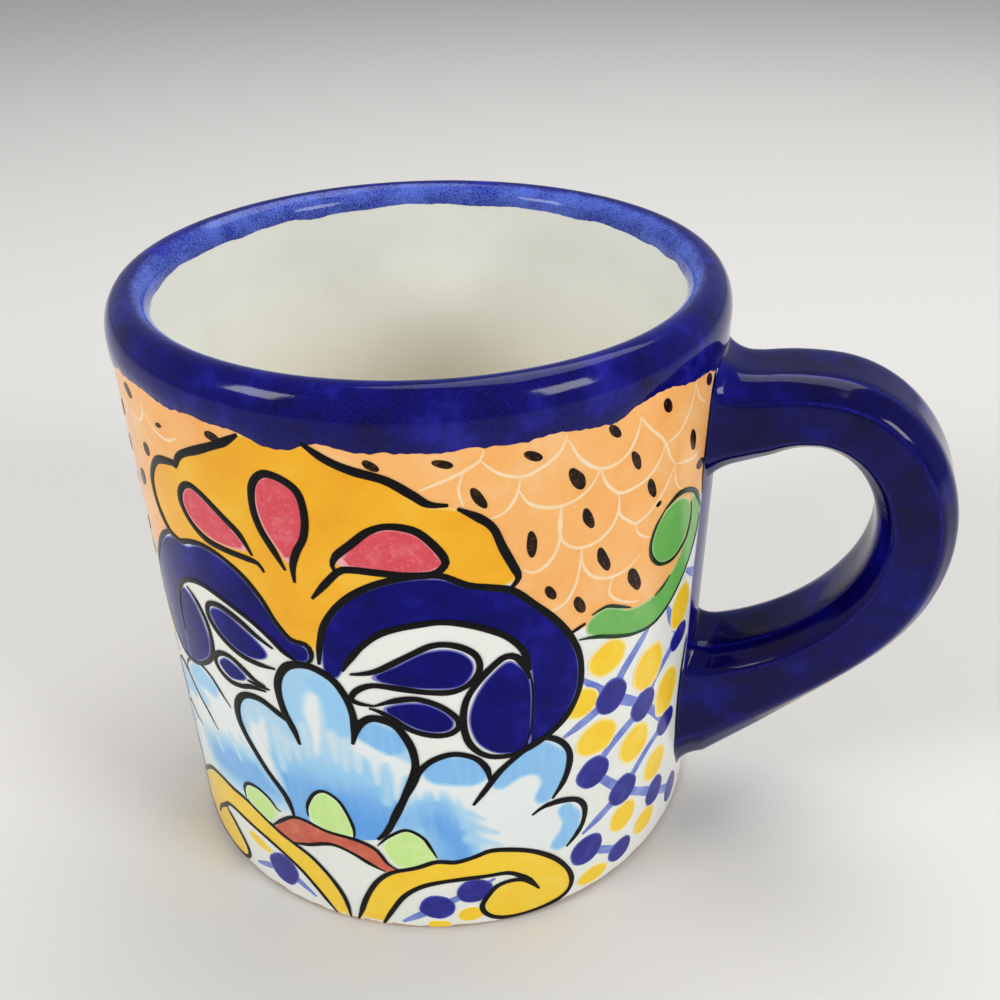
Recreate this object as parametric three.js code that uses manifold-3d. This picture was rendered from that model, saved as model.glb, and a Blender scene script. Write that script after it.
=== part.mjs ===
// Hand-built earthenware coffee mug: a straight-sided cup with a rolled lip and a looped strap handle.
// The handle is luted to the wall at two flared joints of clay slip.
// Millimetres, +Z up. The origin is the centre of the flat underside, and the handle reaches along +X.
import * as THREE from 'three';
import { mergeVertices } from 'three/addons/utils/BufferGeometryUtils.js';
import Module from 'manifold-3d';

// Cup
const MUG_HEIGHT = 95;
const RIM_RADIUS = 46;
const BASE_RADIUS = 45.2;
const WALL = 5;
const FLOOR = 6;
const LIP_SHOULDER = { run: 3.2, rise: 5 };
const LIP_INSIDE = { run: 3, rise: 3.4 };
const LIP_BLEND = 8;
const FLOOR_FILLET = 9;
const FOOT_EDGE = 1.2;

// Handle, measured along the middle of its strap
const HANDLE_WIDTH = 17.6;
const UPPER_THICKNESS = 10.8;
const LOWER_THICKNESS = 12.4;
const HANDLE_SQUARENESS = 3;
const UPPER_JOINT_DROP = 18;
const LOWER_JOINT_HEIGHT = 26;
const HANDLE_REACH = 30.2;
const REACH_DROP = 17.5;
const CREST_OUT = 14.5;
const CREST_RISE = 2;
const LOWER_ARM_RUN = 16;
const LOWER_ARM_RISE = 5;

// Slip joints, and how the strap swells towards them
const SLIP_RUN = 4;
const SIDE_FLARE = 1;
const UPPER_FLARE = { outside: 2, inside: 2.4 };
const LOWER_FLARE = { outside: 2.5, inside: 2 };
const UPPER_SWELL = { run: 16, outside: 2, inside: 3.5 };
const LOWER_SWELL = { run: 24, outside: 9.5, inside: 1.5 };

// Fit and fineness
const SEAT_GAP = 0.3;
const CUP_SEGMENTS = 64;
const LIP_SEGMENTS = 6;
const FILLET_SEGMENTS = 4;
const STRAP_SIDES = 20;
const STRAP_STATIONS = 40;
const SLIP_STATIONS = 5;
const SLIP_OVERCUT = 2;
const STRAP_OVERRUN = 9;
const EDGE_HALVINGS = 24;

// A cubic arc handle of this share of the radius draws a quarter of an ellipse.
const QUARTER_ARC = 0.5523;

const wasm = await Module();
wasm.setup();

// Outer radius of the straight wall at a height.
function wallRadius(z) {
  const rise = (z - FOOT_EDGE) / (MUG_HEIGHT - LIP_SHOULDER.rise - FOOT_EDGE);
  return BASE_RADIUS + (RIM_RADIUS - BASE_RADIUS) * rise;
}

// Points of an elliptical arc in the profile's plane, both ends included. Run is its half width, rise its half height.
function arc(centreRadius, centreZ, { run, rise }, startAngle, endAngle, segments) {
  return Array.from({ length: segments + 1 }, (_, i) => {
    const angle = startAngle + ((endAngle - startAngle) * i) / segments;
    return new THREE.Vector2(centreRadius + run * Math.cos(angle), centreZ + rise * Math.sin(angle));
  });
}

// A turned solid about +Z from a profile that starts and ends on the axis.
function turned(profile) {
  const geometry = new THREE.LatheGeometry(profile, CUP_SEGMENTS);
  geometry.rotateX(Math.PI / 2);
  return geometry;
}

// A closed geometry as a solid that can be cut.
function toSolid(geometry) {
  geometry.deleteAttribute('normal');
  geometry.deleteAttribute('uv');
  const merged = mergeVertices(geometry, 1e-4);
  const triVerts = dropSlivers(merged.index.array);
  const vertProperties = new Float32Array(merged.attributes.position.array);
  return new wasm.Manifold(new wasm.Mesh({ numProp: 3, vertProperties, triVerts }));
}

// Triangles that keep three different corners after merging.
function dropSlivers(index) {
  const kept = [];
  for (let i = 0; i < index.length; i += 3) {
    const [a, b, c] = index.slice(i, i + 3);
    if (a !== b && b !== c && c !== a) kept.push(a, b, c);
  }
  return new Uint32Array(kept);
}

// A cut solid as a geometry.
function toGeometry(solid) {
  const { vertProperties, triVerts } = solid.getMesh();
  const geometry = new THREE.BufferGeometry();
  geometry.setAttribute('position', new THREE.BufferAttribute(new Float32Array(vertProperties), 3));
  geometry.setIndex(new THREE.BufferAttribute(new Uint32Array(triVerts), 1));
  geometry.computeVertexNormals();
  return geometry;
}

// The cup: flat underside, rounded foot edge, straight wall, lip with a long outer shoulder, and filleted floor.
function cupGeometry() {
  const crestRadius = RIM_RADIUS - LIP_SHOULDER.run;
  const shoulderZ = MUG_HEIGHT - LIP_SHOULDER.rise;
  const insideZ = MUG_HEIGHT - LIP_INSIDE.rise;
  const blendZ = insideZ - LIP_BLEND;
  const footEdge = { run: FOOT_EDGE, rise: FOOT_EDGE };
  const floorFillet = { run: FLOOR_FILLET, rise: FLOOR_FILLET };
  const filletZ = FLOOR + FLOOR_FILLET;
  const floorRadius = wallRadius(filletZ) - WALL - FLOOR_FILLET;
  return turned([
    new THREE.Vector2(0, 0),
    ...arc(BASE_RADIUS - FOOT_EDGE, FOOT_EDGE, footEdge, -Math.PI / 2, 0, FILLET_SEGMENTS),
    ...arc(crestRadius, shoulderZ, LIP_SHOULDER, 0, Math.PI / 2, LIP_SEGMENTS),
    ...arc(crestRadius, insideZ, LIP_INSIDE, Math.PI / 2, Math.PI, LIP_SEGMENTS).slice(1),
    new THREE.Vector2(wallRadius(blendZ) - WALL, blendZ),
    ...arc(floorRadius, filletZ, floorFillet, 0, -Math.PI / 2, FILLET_SEGMENTS),
    new THREE.Vector2(0, FLOOR),
  ]);
}

// Everything within a distance outside the wall, to cut the handle and the joints to its curve.
function wallCutter(distance) {
  const below = -MUG_HEIGHT;
  const above = 2 * MUG_HEIGHT;
  return toSolid(turned([
    new THREE.Vector2(0, below),
    new THREE.Vector2(wallRadius(below) + distance, below),
    new THREE.Vector2(wallRadius(above) + distance, above),
    new THREE.Vector2(0, above),
  ]));
}

// The middle line of the strap, which runs straight on into the wall at both joints.
function strapLoop() {
  const upperZ = MUG_HEIGHT - UPPER_JOINT_DROP;
  const upper = new THREE.Vector3(wallRadius(upperZ), 0, upperZ);
  const crest = new THREE.Vector3(upper.x + CREST_OUT, 0, upper.z + CREST_RISE);
  const reach = new THREE.Vector3(upper.x + HANDLE_REACH, 0, upper.z - REACH_DROP);
  const lower = new THREE.Vector3(wallRadius(LOWER_JOINT_HEIGHT), 0, LOWER_JOINT_HEIGHT);
  const lowerArm = new THREE.Vector3(lower.x + LOWER_ARM_RUN, 0, lower.z + LOWER_ARM_RISE);
  const intoUpper = new THREE.Vector3(upper.x - STRAP_OVERRUN, 0, upper.z);
  const intoLower = lower.clone().addScaledVector(lower.clone().sub(lowerArm).normalize(), STRAP_OVERRUN);
  const halfway = (upper.x + crest.x) / 2;
  const overTop = QUARTER_ARC * (reach.x - crest.x);
  const downSide = QUARTER_ARC * (crest.z - reach.z);
  const loop = new THREE.CurvePath();
  loop.add(new THREE.LineCurve3(intoUpper, upper));
  loop.add(new THREE.CubicBezierCurve3(
    upper,
    new THREE.Vector3(halfway, 0, upper.z),
    new THREE.Vector3(halfway, 0, crest.z),
    crest,
  ));
  loop.add(new THREE.CubicBezierCurve3(
    crest,
    new THREE.Vector3(crest.x + overTop, 0, crest.z),
    new THREE.Vector3(reach.x, 0, reach.z + downSide),
    reach,
  ));
  loop.add(new THREE.CubicBezierCurve3(
    reach,
    new THREE.Vector3(reach.x, 0, reach.z - QUARTER_ARC * (reach.z - lowerArm.z)),
    lowerArm,
    lower,
  ));
  loop.add(new THREE.LineCurve3(lower, intoLower));
  return loop;
}

// A closed solid through rings of STRAP_SIDES corners each.
function loft(rings) {
  const index = [];
  for (let ring = 0; ring < rings.length - 1; ring++) {
    for (let side = 0; side < STRAP_SIDES; side++) {
      const a = ring * STRAP_SIDES + side;
      const b = ring * STRAP_SIDES + ((side + 1) % STRAP_SIDES);
      index.push(a, b, b + STRAP_SIDES, a, b + STRAP_SIDES, a + STRAP_SIDES);
    }
  }
  const last = (rings.length - 1) * STRAP_SIDES;
  for (let side = 1; side < STRAP_SIDES - 1; side++) {
    index.push(0, side + 1, side);
    index.push(last, last + side, last + side + 1);
  }
  const geometry = new THREE.BufferGeometry().setFromPoints(rings.flat());
  geometry.setIndex(index);
  return toSolid(geometry);
}

// How much the strap swells at a point, by how near it is to the wall.
function swellAt(point, isUpper) {
  const swell = isUpper ? UPPER_SWELL : LOWER_SWELL;
  const away = THREE.MathUtils.clamp((point.x - wallRadius(point.z)) / swell.run, 0, 1);
  const share = (1 - away) ** 2;
  return { outside: swell.outside * share, inside: swell.inside * share };
}

// One corner of a rounded oblong, as shares of its half width and half depth.
function sectionCorner(side) {
  const angle = (2 * Math.PI * side) / STRAP_SIDES;
  const rounded = (ratio) => Math.sign(ratio) * Math.abs(ratio) ** (2 / HANDLE_SQUARENESS);
  return { across: rounded(Math.cos(angle)), out: rounded(Math.sin(angle)) };
}

// A corner of the strap's section, square to its middle line.
function strapCorner(loop, at, side) {
  const corner = sectionCorner(side);
  const middle = loop.getPointAt(at);
  const along = loop.getTangentAt(at);
  const swell = swellAt(middle, along.x > 0);
  const halfThickness = THREE.MathUtils.lerp(UPPER_THICKNESS, LOWER_THICKNESS, at) / 2;
  const out = corner.out * (halfThickness + (corner.out > 0 ? swell.outside : swell.inside));
  const across = (corner.across * HANDLE_WIDTH) / 2;
  return new THREE.Vector3(middle.x - along.z * out, across, middle.z + along.x * out);
}

// All corners of a ring.
function ring(corner) {
  return Array.from({ length: STRAP_SIDES }, (_, side) => corner(side));
}

// Where one edge of the strap is a distance outside the wall, near one end of the loop.
function edgeAt(loop, distance, side, isUpper) {
  let near = isUpper ? 0 : 1;
  let far = 0.5;
  for (let halving = 0; halving < EDGE_HALVINGS; halving++) {
    const middle = (near + far) / 2;
    const point = strapCorner(loop, middle, side);
    if (Math.hypot(point.x, point.y) - wallRadius(point.z) < distance) near = middle;
    else far = middle;
  }
  return strapCorner(loop, near, side);
}

// The strap's section on the wall's own curve, a distance outside the wall and flared by a share.
function jointRing(loop, distance, share, isUpper) {
  const flare = isUpper ? UPPER_FLARE : LOWER_FLARE;
  const outsideSign = isUpper ? 1 : -1;
  return ring((side) => {
    const corner = sectionCorner(side);
    const edge = edgeAt(loop, distance, side, isUpper);
    const across = edge.y + corner.across * SIDE_FLARE * share;
    const out = corner.out * (corner.out > 0 ? flare.outside : flare.inside) * share;
    const z = edge.z + outsideSign * out;
    return new THREE.Vector3(Math.sqrt((wallRadius(z) + distance) ** 2 - across ** 2), across, z);
  });
}

// The handle: the whole strap, cut back from the wall by the joints.
function handleGeometry(loop) {
  const stations = Array.from({ length: STRAP_STATIONS + 1 }, (_, i) => i / STRAP_STATIONS);
  const strap = loft(stations.map((at) => ring((side) => strapCorner(loop, at, side))));
  return toGeometry(strap.subtract(wallCutter(SLIP_RUN + SEAT_GAP)));
}

// A slip joint: a hollow quarter round from the handle's cut end out along the wall.
function slipGeometry(loop, isUpper) {
  const turns = Array.from({ length: SLIP_STATIONS + 1 }, (_, i) => (i * Math.PI) / 2 / SLIP_STATIONS);
  const flared = turns.map((turn) => (
    jointRing(loop, SLIP_RUN * (1 - Math.sin(turn)), 1 - Math.cos(turn), isUpper)
  ));
  const pastHandleEnd = jointRing(loop, SLIP_RUN + SLIP_OVERCUT, 0, isUpper);
  const insideWall = jointRing(loop, -SLIP_OVERCUT, 1, isUpper);
  const rings = [pastHandleEnd, ...flared, insideWall];
  const joint = loft(isUpper ? rings.reverse() : rings);
  return toGeometry(joint.subtract(wallCutter(SEAT_GAP)).intersect(wallCutter(SLIP_RUN)));
}

// A named piece with its glaze.
function piece(name, geometry, color) {
  const material = new THREE.MeshStandardMaterial({ color, roughness: 0.15, metalness: 0 });
  const mesh = new THREE.Mesh(geometry, material);
  mesh.name = name;
  return mesh;
}

const WHITE_GLAZE = 0xf0ede2;
const COBALT_GLAZE = 0x1a1470;

const loop = strapLoop();
const mug = new THREE.Group();
mug.add(piece('cup_body', toGeometry(toSolid(cupGeometry())), WHITE_GLAZE));
mug.add(piece('handle', handleGeometry(loop), COBALT_GLAZE));
mug.add(piece('upper_slip_joint', slipGeometry(loop, true), COBALT_GLAZE));
mug.add(piece('lower_slip_joint', slipGeometry(loop, false), COBALT_GLAZE));

export default mug;
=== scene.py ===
"""A hand-painted talavera coffee mug with a cobalt rim and a cobalt strap handle.

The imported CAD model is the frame. The cup is turned, the cobalt coat runs over its lip, and the
handle is one glazed strap that spreads on to the wall. The painting is laid out on a flat sheet, in
millimetres along the wall and up it, and Geometry Nodes wrap each pigment's marks on the wall.
"""

import logging
import math
from collections.abc import Callable, Sequence
from dataclasses import dataclass, field
from enum import Enum

import bpy
import numpy as np
from mathutils import Matrix, Vector, geometry, noise


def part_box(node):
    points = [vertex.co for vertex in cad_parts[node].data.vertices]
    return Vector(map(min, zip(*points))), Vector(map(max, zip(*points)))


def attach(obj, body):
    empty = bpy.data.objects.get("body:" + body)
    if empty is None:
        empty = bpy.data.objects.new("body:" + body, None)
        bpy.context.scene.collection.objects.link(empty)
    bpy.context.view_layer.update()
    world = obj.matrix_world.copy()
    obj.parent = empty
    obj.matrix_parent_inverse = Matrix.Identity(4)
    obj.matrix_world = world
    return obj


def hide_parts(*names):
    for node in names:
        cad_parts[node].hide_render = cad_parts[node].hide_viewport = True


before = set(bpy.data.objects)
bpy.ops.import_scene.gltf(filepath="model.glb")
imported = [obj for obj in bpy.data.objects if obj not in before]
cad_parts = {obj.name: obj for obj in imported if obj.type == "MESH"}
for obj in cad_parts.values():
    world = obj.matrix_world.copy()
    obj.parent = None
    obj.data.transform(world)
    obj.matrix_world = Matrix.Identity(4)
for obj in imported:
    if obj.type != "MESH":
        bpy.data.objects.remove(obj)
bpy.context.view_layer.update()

MM = 0.001
BODY = "root"
log = logging.getLogger("talavera_mug")

Point = tuple[float, float]
Spot = tuple[float, float, float]
Colour = tuple[float, float, float, float]
Outline = Sequence[Point]
Place = Callable[[Point], Point]
Node = bpy.types.Node
Socket = bpy.types.NodeSocket
Tree = bpy.types.NodeTree
Piece = bpy.types.Object
Mesh = bpy.types.Mesh
Material = bpy.types.Material


def to_linear(hex_colour: str) -> Colour:
    """Turn an sRGB hex colour to linear light.

    Args:
        hex_colour: six hex digits after a hash.

    Returns:
        Linear red, green, blue and an alpha of one.
    """
    shares = [int(hex_colour[i : i + 2], 16) / 255 for i in (1, 3, 5)]
    linear = [c / 12.92 if c <= 0.04045 else ((c + 0.055) / 1.055) ** 2.4 for c in shares]
    return (*linear, 1.0)


def add_node(tree: Tree, kind: str, inputs: dict | None = None, **settings: object) -> Node:
    """Add a node with its settings, and give its sockets their values or links.

    Args:
        tree: the node tree to add to.
        kind: the node's type name.
        inputs: socket name or number to a value, to an output, or to a node for its first output.
        settings: the node's own properties.

    Returns:
        The new node.
    """
    node = tree.nodes.new(kind)
    for name, value in settings.items():
        setattr(node, name, value)
    for socket, value in (inputs or {}).items():
        if isinstance(value, Node):
            value = value.outputs[0]
        if isinstance(value, Socket):
            tree.links.new(value, node.inputs[socket])
        else:
            node.inputs[socket].default_value = value
    return node


def per_mm(size_mm: float) -> float:
    """The noise scale, on coordinates in metres, whose features are about this many millimetres."""
    return 1 / (size_mm * MM)


# Kinds of node that are used often.
MATH = "ShaderNodeMath"
VECTOR_MATH = "ShaderNodeVectorMath"
NOISE = "ShaderNodeTexNoise"
ATTRIBUTE = "ShaderNodeAttribute"

# The sockets of a mix of colours, by number because a mix of another kind has the same names.
MIX_FACTOR, MIX_UNDER, MIX_OVER = 0, 6, 7
MIXED_COLOUR = 2


# Finishes

# A fired lead or boron glaze is as glossy as window glass, and ripples faintly as it sets.
GLAZE_IOR = 1.52
RIPPLE_MM = 6.0
RIPPLE_DEPTH_MM = 0.12
RIPPLE_STRENGTH = 0.5

# Where a tint begins and where it is full, along the noise or the attribute that steers it.
DEEP_CLOUDS = (0.48, 0.72)
THIN_CLOUDS = (0.50, 0.28)
THIN_GRAINS = (0.55, 0.72)
# The lighter blue on cobalt ridges and the lip's crest is partly thin glaze and partly painted highlight.
THIN_GLAZE_AND_SHEEN = (0.55, 1.3)
# Where the painted shade deep in the cup begins and where it is full, along the mesh's depth.
DEEP_SHADE_SPAN = (0.3, 1.0)
PALE_WASH = (0.0, 0.34)
LIGHT_WASH = (0.3, 0.67)
DEEP_WASH = (0.63, 1.0)
NOISE_MIDDLE = 0.5


@dataclass(frozen=True)
class Tint:
    """A colour laid over another.

    Args:
        source: the output that steers it.
        span: where along the source it begins, and where it is full.
        colour: the tint's own.
        share: how much of it there is where it is full.
    """

    source: Socket
    span: Point
    colour: str
    share: float = 1.0


def tinted(tree: Tree, base: Colour | Socket, tints: Sequence[Tint]) -> Socket:
    """Lay tints over a colour, each over the last.

    Args:
        tree: the material's node tree.
        base: the colour underneath.
        tints: from the lowest to the highest.

    Returns:
        The colour's output socket.
    """
    for tint in tints:
        start, full = tint.span
        amount = add_node(
            tree,
            "ShaderNodeMapRange",
            {"Value": tint.source, "From Min": start, "From Max": full, "To Max": tint.share},
            interpolation_type="SMOOTHSTEP",
        )
        layers = {MIX_FACTOR: amount, MIX_UNDER: base, MIX_OVER: to_linear(tint.colour)}
        base = add_node(tree, "ShaderNodeMix", layers, data_type="RGBA").outputs[MIXED_COLOUR]
    return base


@dataclass(frozen=True)
class Glaze:
    """A coloured glaze brushed on and fired to a gloss, with the clouding that the brush leaves.

    Args:
        name: the material's name.
        body: colour at the usual thickness.
        thin: colour where it was brushed thin.
        deep: colour where it pooled.
        cloud_mm: size of the clouding.
        clouding: share of thin and deep in it.
        grain_mm: size of the fine grain.
        grain: share of thin in the fine grain.
        edge: colour along the rim of a mark, if it differs.
        edge_mm: width of that rim.
        roughness: of the fired surface.
        shine: the shader's specular level, where a half is the full reflection of its IOR.
        thin_glaze_and_sheen: colour on ridges, partly thin glaze and partly painted highlight, by attribute
            "thin".
    """

    name: str
    body: str
    thin: str
    deep: str
    cloud_mm: float = 5.0
    clouding: float = 0.5
    grain_mm: float = 0.45
    grain: float = 0.2
    edge: str | None = None
    edge_mm: float = 0.4
    roughness: float = 0.16
    shine: float = 0.25
    thin_glaze_and_sheen: str | None = None

    def material(self) -> Material:
        """Build the material.

        Returns:
            The new material, named for the glaze.
        """
        material = bpy.data.materials.new(self.name)
        material.use_nodes = True
        tree = material.node_tree
        shader = tree.nodes["Principled BSDF"]
        coords = add_node(tree, "ShaderNodeTexCoord").outputs["Object"]
        tree.links.new(self.colour(tree, coords), shader.inputs["Base Color"])
        ripple = add_node(tree, NOISE, {"Vector": coords, "Scale": per_mm(RIPPLE_MM), "Detail": 2.0})
        swell = {"Height": ripple, "Distance": RIPPLE_DEPTH_MM * MM, "Strength": RIPPLE_STRENGTH}
        bump = add_node(tree, "ShaderNodeBump", swell)
        tree.links.new(bump.outputs["Normal"], shader.inputs["Normal"])
        shader.inputs["Roughness"].default_value = self.roughness
        shader.inputs["IOR"].default_value = GLAZE_IOR
        shader.inputs["Specular IOR Level"].default_value = self.shine
        return material

    def colour(self, tree: Tree, coords: Socket) -> Socket:
        """Build the glaze's colour from its clouding, grain and edge, and its lighter ridges, partly thin
        glaze and partly painted highlight.

        Args:
            tree: the material's node tree.
            coords: object coordinates.

        Returns:
            The colour's output socket.
        """
        clouds = {"Vector": coords, "Scale": per_mm(self.cloud_mm), "Detail": 3.0, "Roughness": 0.6}
        grains = {"Vector": coords, "Scale": per_mm(self.grain_mm), "Detail": 1.0}
        cloud = add_node(tree, NOISE, clouds).outputs["Fac"]
        grain = add_node(tree, NOISE, grains).outputs["Fac"]
        tints = [
            Tint(cloud, DEEP_CLOUDS, self.deep, self.clouding),
            Tint(cloud, THIN_CLOUDS, self.thin, self.clouding),
            Tint(grain, THIN_GRAINS, self.thin, self.grain),
        ]
        if self.edge:
            rim = add_node(tree, ATTRIBUTE, attribute_name="edge").outputs["Fac"]
            tints.append(Tint(rim, (self.edge_mm, 0.0), self.edge))
        # Lighter colour on ridges: partly glaze run thin, partly painted highlight.
        if self.thin_glaze_and_sheen:
            thinning_and_sheen = add_node(tree, ATTRIBUTE, attribute_name="thin").outputs["Fac"]
            patchy = add_node(tree, MATH, {0: cloud, 1: grain}, operation="ADD")
            thinning_and_sheen_mask = add_node(tree, MATH, {0: thinning_and_sheen, 1: patchy}, operation="MULTIPLY").outputs[0]
            tints.append(Tint(thinning_and_sheen_mask, THIN_GLAZE_AND_SHEEN, self.thin_glaze_and_sheen))
        return tinted(tree, to_linear(self.body), tints)


@dataclass(frozen=True)
class TinGlaze(Glaze):
    """White tin glaze over buff clay, wiped off the foot so that it wouldn't stick to the kiln shelf.

    Args:
        clay: colour of the bare clay.
        bare_up_to_mm: height of the wiped band.
        ragged_mm: how far up and down its edge strays.
        ragged_span_mm: over what length it strays.
        fade_mm: how far the glaze fades above that edge, and below it.
        deep_painted_shade: painted shade, a darker and warmer white deeper in the cup, read from the mesh's
            attribute "depth".
    """

    clay: str = "#b98f63"
    bare_up_to_mm: float = 0.9
    ragged_mm: float = 1.6
    ragged_span_mm: float = 3.0
    fade_mm: Point = (0.25, 0.1)
    deep_painted_shade: str = "#ece5d4"

    def colour(self, tree: Tree, coords: Socket) -> Socket:
        """Build the white, with bare clay below the wiped line and a darker, warmer painted shade deep
        inside.

        Args:
            tree: the material's node tree.
            coords: object coordinates.

        Returns:
            The colour's output socket.
        """
        white = super().colour(tree, coords)
        up = add_node(tree, "ShaderNodeSeparateXYZ", {0: coords}).outputs["Z"]
        rough = add_node(tree, NOISE, {"Vector": coords, "Scale": per_mm(self.ragged_span_mm)})
        strayed = {0: rough, 1: -self.ragged_mm * MM, 2: up}
        line = add_node(tree, MATH, strayed, operation="MULTIPLY_ADD").outputs[0]
        edge = self.bare_up_to_mm - self.ragged_mm * NOISE_MIDDLE
        above, below = self.fade_mm
        # Painted shade: the mesh's depth darkens and warms the white deeper in the cup.
        depth = add_node(tree, ATTRIBUTE, attribute_name="depth").outputs["Fac"]
        bare = Tint(line, ((edge + above) * MM, (edge - below) * MM), self.clay)
        return tinted(tree, white, [bare, Tint(depth, DEEP_SHADE_SPAN, self.deep_painted_shade)])


@dataclass(frozen=True)
class PetalGlaze(Glaze):
    """Diluted cobalt washed over white, from bare white to mid blue by the mesh's attribute "tone".

    Args:
        pale: colour at a third of the wash.
        streak_mm: breadth and length of the streaks that the brush's hairs leave.
        streaking: how far a streak shifts the tone.
        wet_from: tone from which the streaks are at their strongest.
    """

    pale: str = "#c6e3f3"
    streak_mm: Point = (0.9, 7.0)
    streaking: float = 0.14
    wet_from: float = 0.4

    def colour(self, tree: Tree, coords: Socket) -> Socket:
        """Build the wash from white over pale and light to deep, streaked upwards.

        Args:
            tree: the material's node tree.
            coords: object coordinates.

        Returns:
            The colour's output socket.
        """
        across, along = self.streak_mm
        drawn = add_node(tree, "ShaderNodeMapping", {"Vector": coords, "Scale": (1.0, 1.0, across / along)})
        hairs = add_node(tree, NOISE, {"Vector": drawn, "Scale": per_mm(across), "Detail": 2.0})
        tone = add_node(tree, ATTRIBUTE, attribute_name="tone").outputs["Fac"]
        shift = add_node(tree, MATH, {0: hairs, 1: NOISE_MIDDLE}, operation="SUBTRACT")
        wet = add_node(tree, MATH, {0: tone, 1: self.wet_from}, operation="MINIMUM")
        pull = add_node(tree, MATH, {0: shift, 1: wet}, operation="MULTIPLY")
        streaks = {0: pull, 1: self.streaking / self.wet_from, 2: tone}
        streaked = add_node(tree, MATH, streaks, operation="MULTIPLY_ADD").outputs[0]
        washes = ((PALE_WASH, self.pale), (LIGHT_WASH, self.thin), (DEEP_WASH, self.deep))
        tints = [Tint(streaked, span, colour) for span, colour in washes]
        return tinted(tree, to_linear(self.body), tints)


# White tin glaze: opaque, glossy, near neutral, with faint grey clouding.
WHITE_TIN = TinGlaze(
    "white_tin_glaze", "#f0f2ea", "#f5f6f1", "#e7e8e0", cloud_mm=11, clouding=0.4, grain=0.1, shine=0.4
)

# Cobalt glaze on the rim and handle: near black-blue where thick, violet-blue and grainy where it ran thin.
# Its lighter blue on the lip's crest and the handle's ridges is partly thin glaze and partly painted
# highlight.
COBALT_COAT = Glaze(
    "cobalt_coat_glaze", "#0c0a62", "#23259c", "#06042e", cloud_mm=7, clouding=0.7, grain_mm=0.28,
    grain=0.35, roughness=0.1, shine=0.16, thin_glaze_and_sheen="#586fd2",
)
COBALT_HANDLE = Glaze(
    "cobalt_handle_glaze", "#080650", "#15138a", "#040228", cloud_mm=10, clouding=0.8, grain_mm=0.3,
    grain=0.15, roughness=0.1, shine=0.16, thin_glaze_and_sheen="#2523a0",
)

# Brushed oxides under the clear glaze: flat, saturated, a little cloudy, with a pale rim by the outline.
COBALT_PAINT = Glaze(
    "cobalt_paint", "#09066a", "#1b1a94", "#04034a", clouding=0.6, edge="#8286d0", edge_mm=0.3, shine=0.08
)
DOT_BLUE = Glaze("blue_dot_paint", "#23218c", "#3b3fa8", "#14115e", cloud_mm=3, edge="#5c66bc", shine=0.2)
PALE_BLUE = Glaze("pale_blue_line_paint", "#7688d4", "#a2b0e4", "#576ac4", cloud_mm=3, clouding=0.7)
PETAL_BLUE = PetalGlaze("petal_blue_wash", "#eef3f1", "#9dd2f6", "#62a6ec")
AMBER = Glaze(
    "amber_paint", "#f9b41a", "#fbca42", "#f0a410", cloud_mm=9, clouding=0.6, edge="#fbd870", edge_mm=0.45
)
YELLOW = Glaze("yellow_paint", "#ffd432", "#ffe268", "#fbc220", cloud_mm=6, edge="#fce38a", edge_mm=0.45)
YELLOW_TOUCH = Glaze(
    "yellow_dot_paint", "#ffd428", "#ffe058", "#ffc61a", cloud_mm=4, edge="#fdeeb8", edge_mm=0.6
)
ORANGE = Glaze("orange_ground_paint", "#ffba6c", "#ffce92", "#fba852", cloud_mm=8, clouding=0.6)
CREAM = Glaze("cream_line_paint", "#ffdfb2", "#ffecd0", "#fdcd94", cloud_mm=3)
PINK = Glaze(
    "pink_paint", "#dd4c58", "#ec8288", "#cc3e4c", cloud_mm=3, clouding=0.4, grain_mm=0.5, grain=0.4,
    edge="#f3b0b0",
)
BRICK = Glaze("brick_red_paint", "#d0644a", "#e28c70", "#b84c38", cloud_mm=3, clouding=0.6)
LEAF_GREEN = Glaze(
    "leaf_green_paint", "#70b858", "#88c872", "#5ea648", clouding=0.4, edge="#bcdca4", edge_mm=0.35
)
DARK_GREEN = Glaze("dark_green_line_paint", "#1a381c", "#30542c", "#102413", cloud_mm=3, shine=0.15)
LIME = Glaze("lime_paint", "#cdf094", "#def6b6", "#bae67c", cloud_mm=3, edge="#e8f6cc", edge_mm=0.5)
BLACK = Glaze(
    "black_outline_paint", "#0a0809", "#181516", "#040304", cloud_mm=3, clouding=0.4, grain=0.1,
    roughness=0.2, shine=0.1,
)
SEED_BROWN = Glaze(
    "seed_brown_paint", "#1c0f08", "#6e4020", "#100804", cloud_mm=2, clouding=0.4, grain_mm=0.6,
    grain=0.5, shine=0.12,
)


# The wall and the sheet


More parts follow.
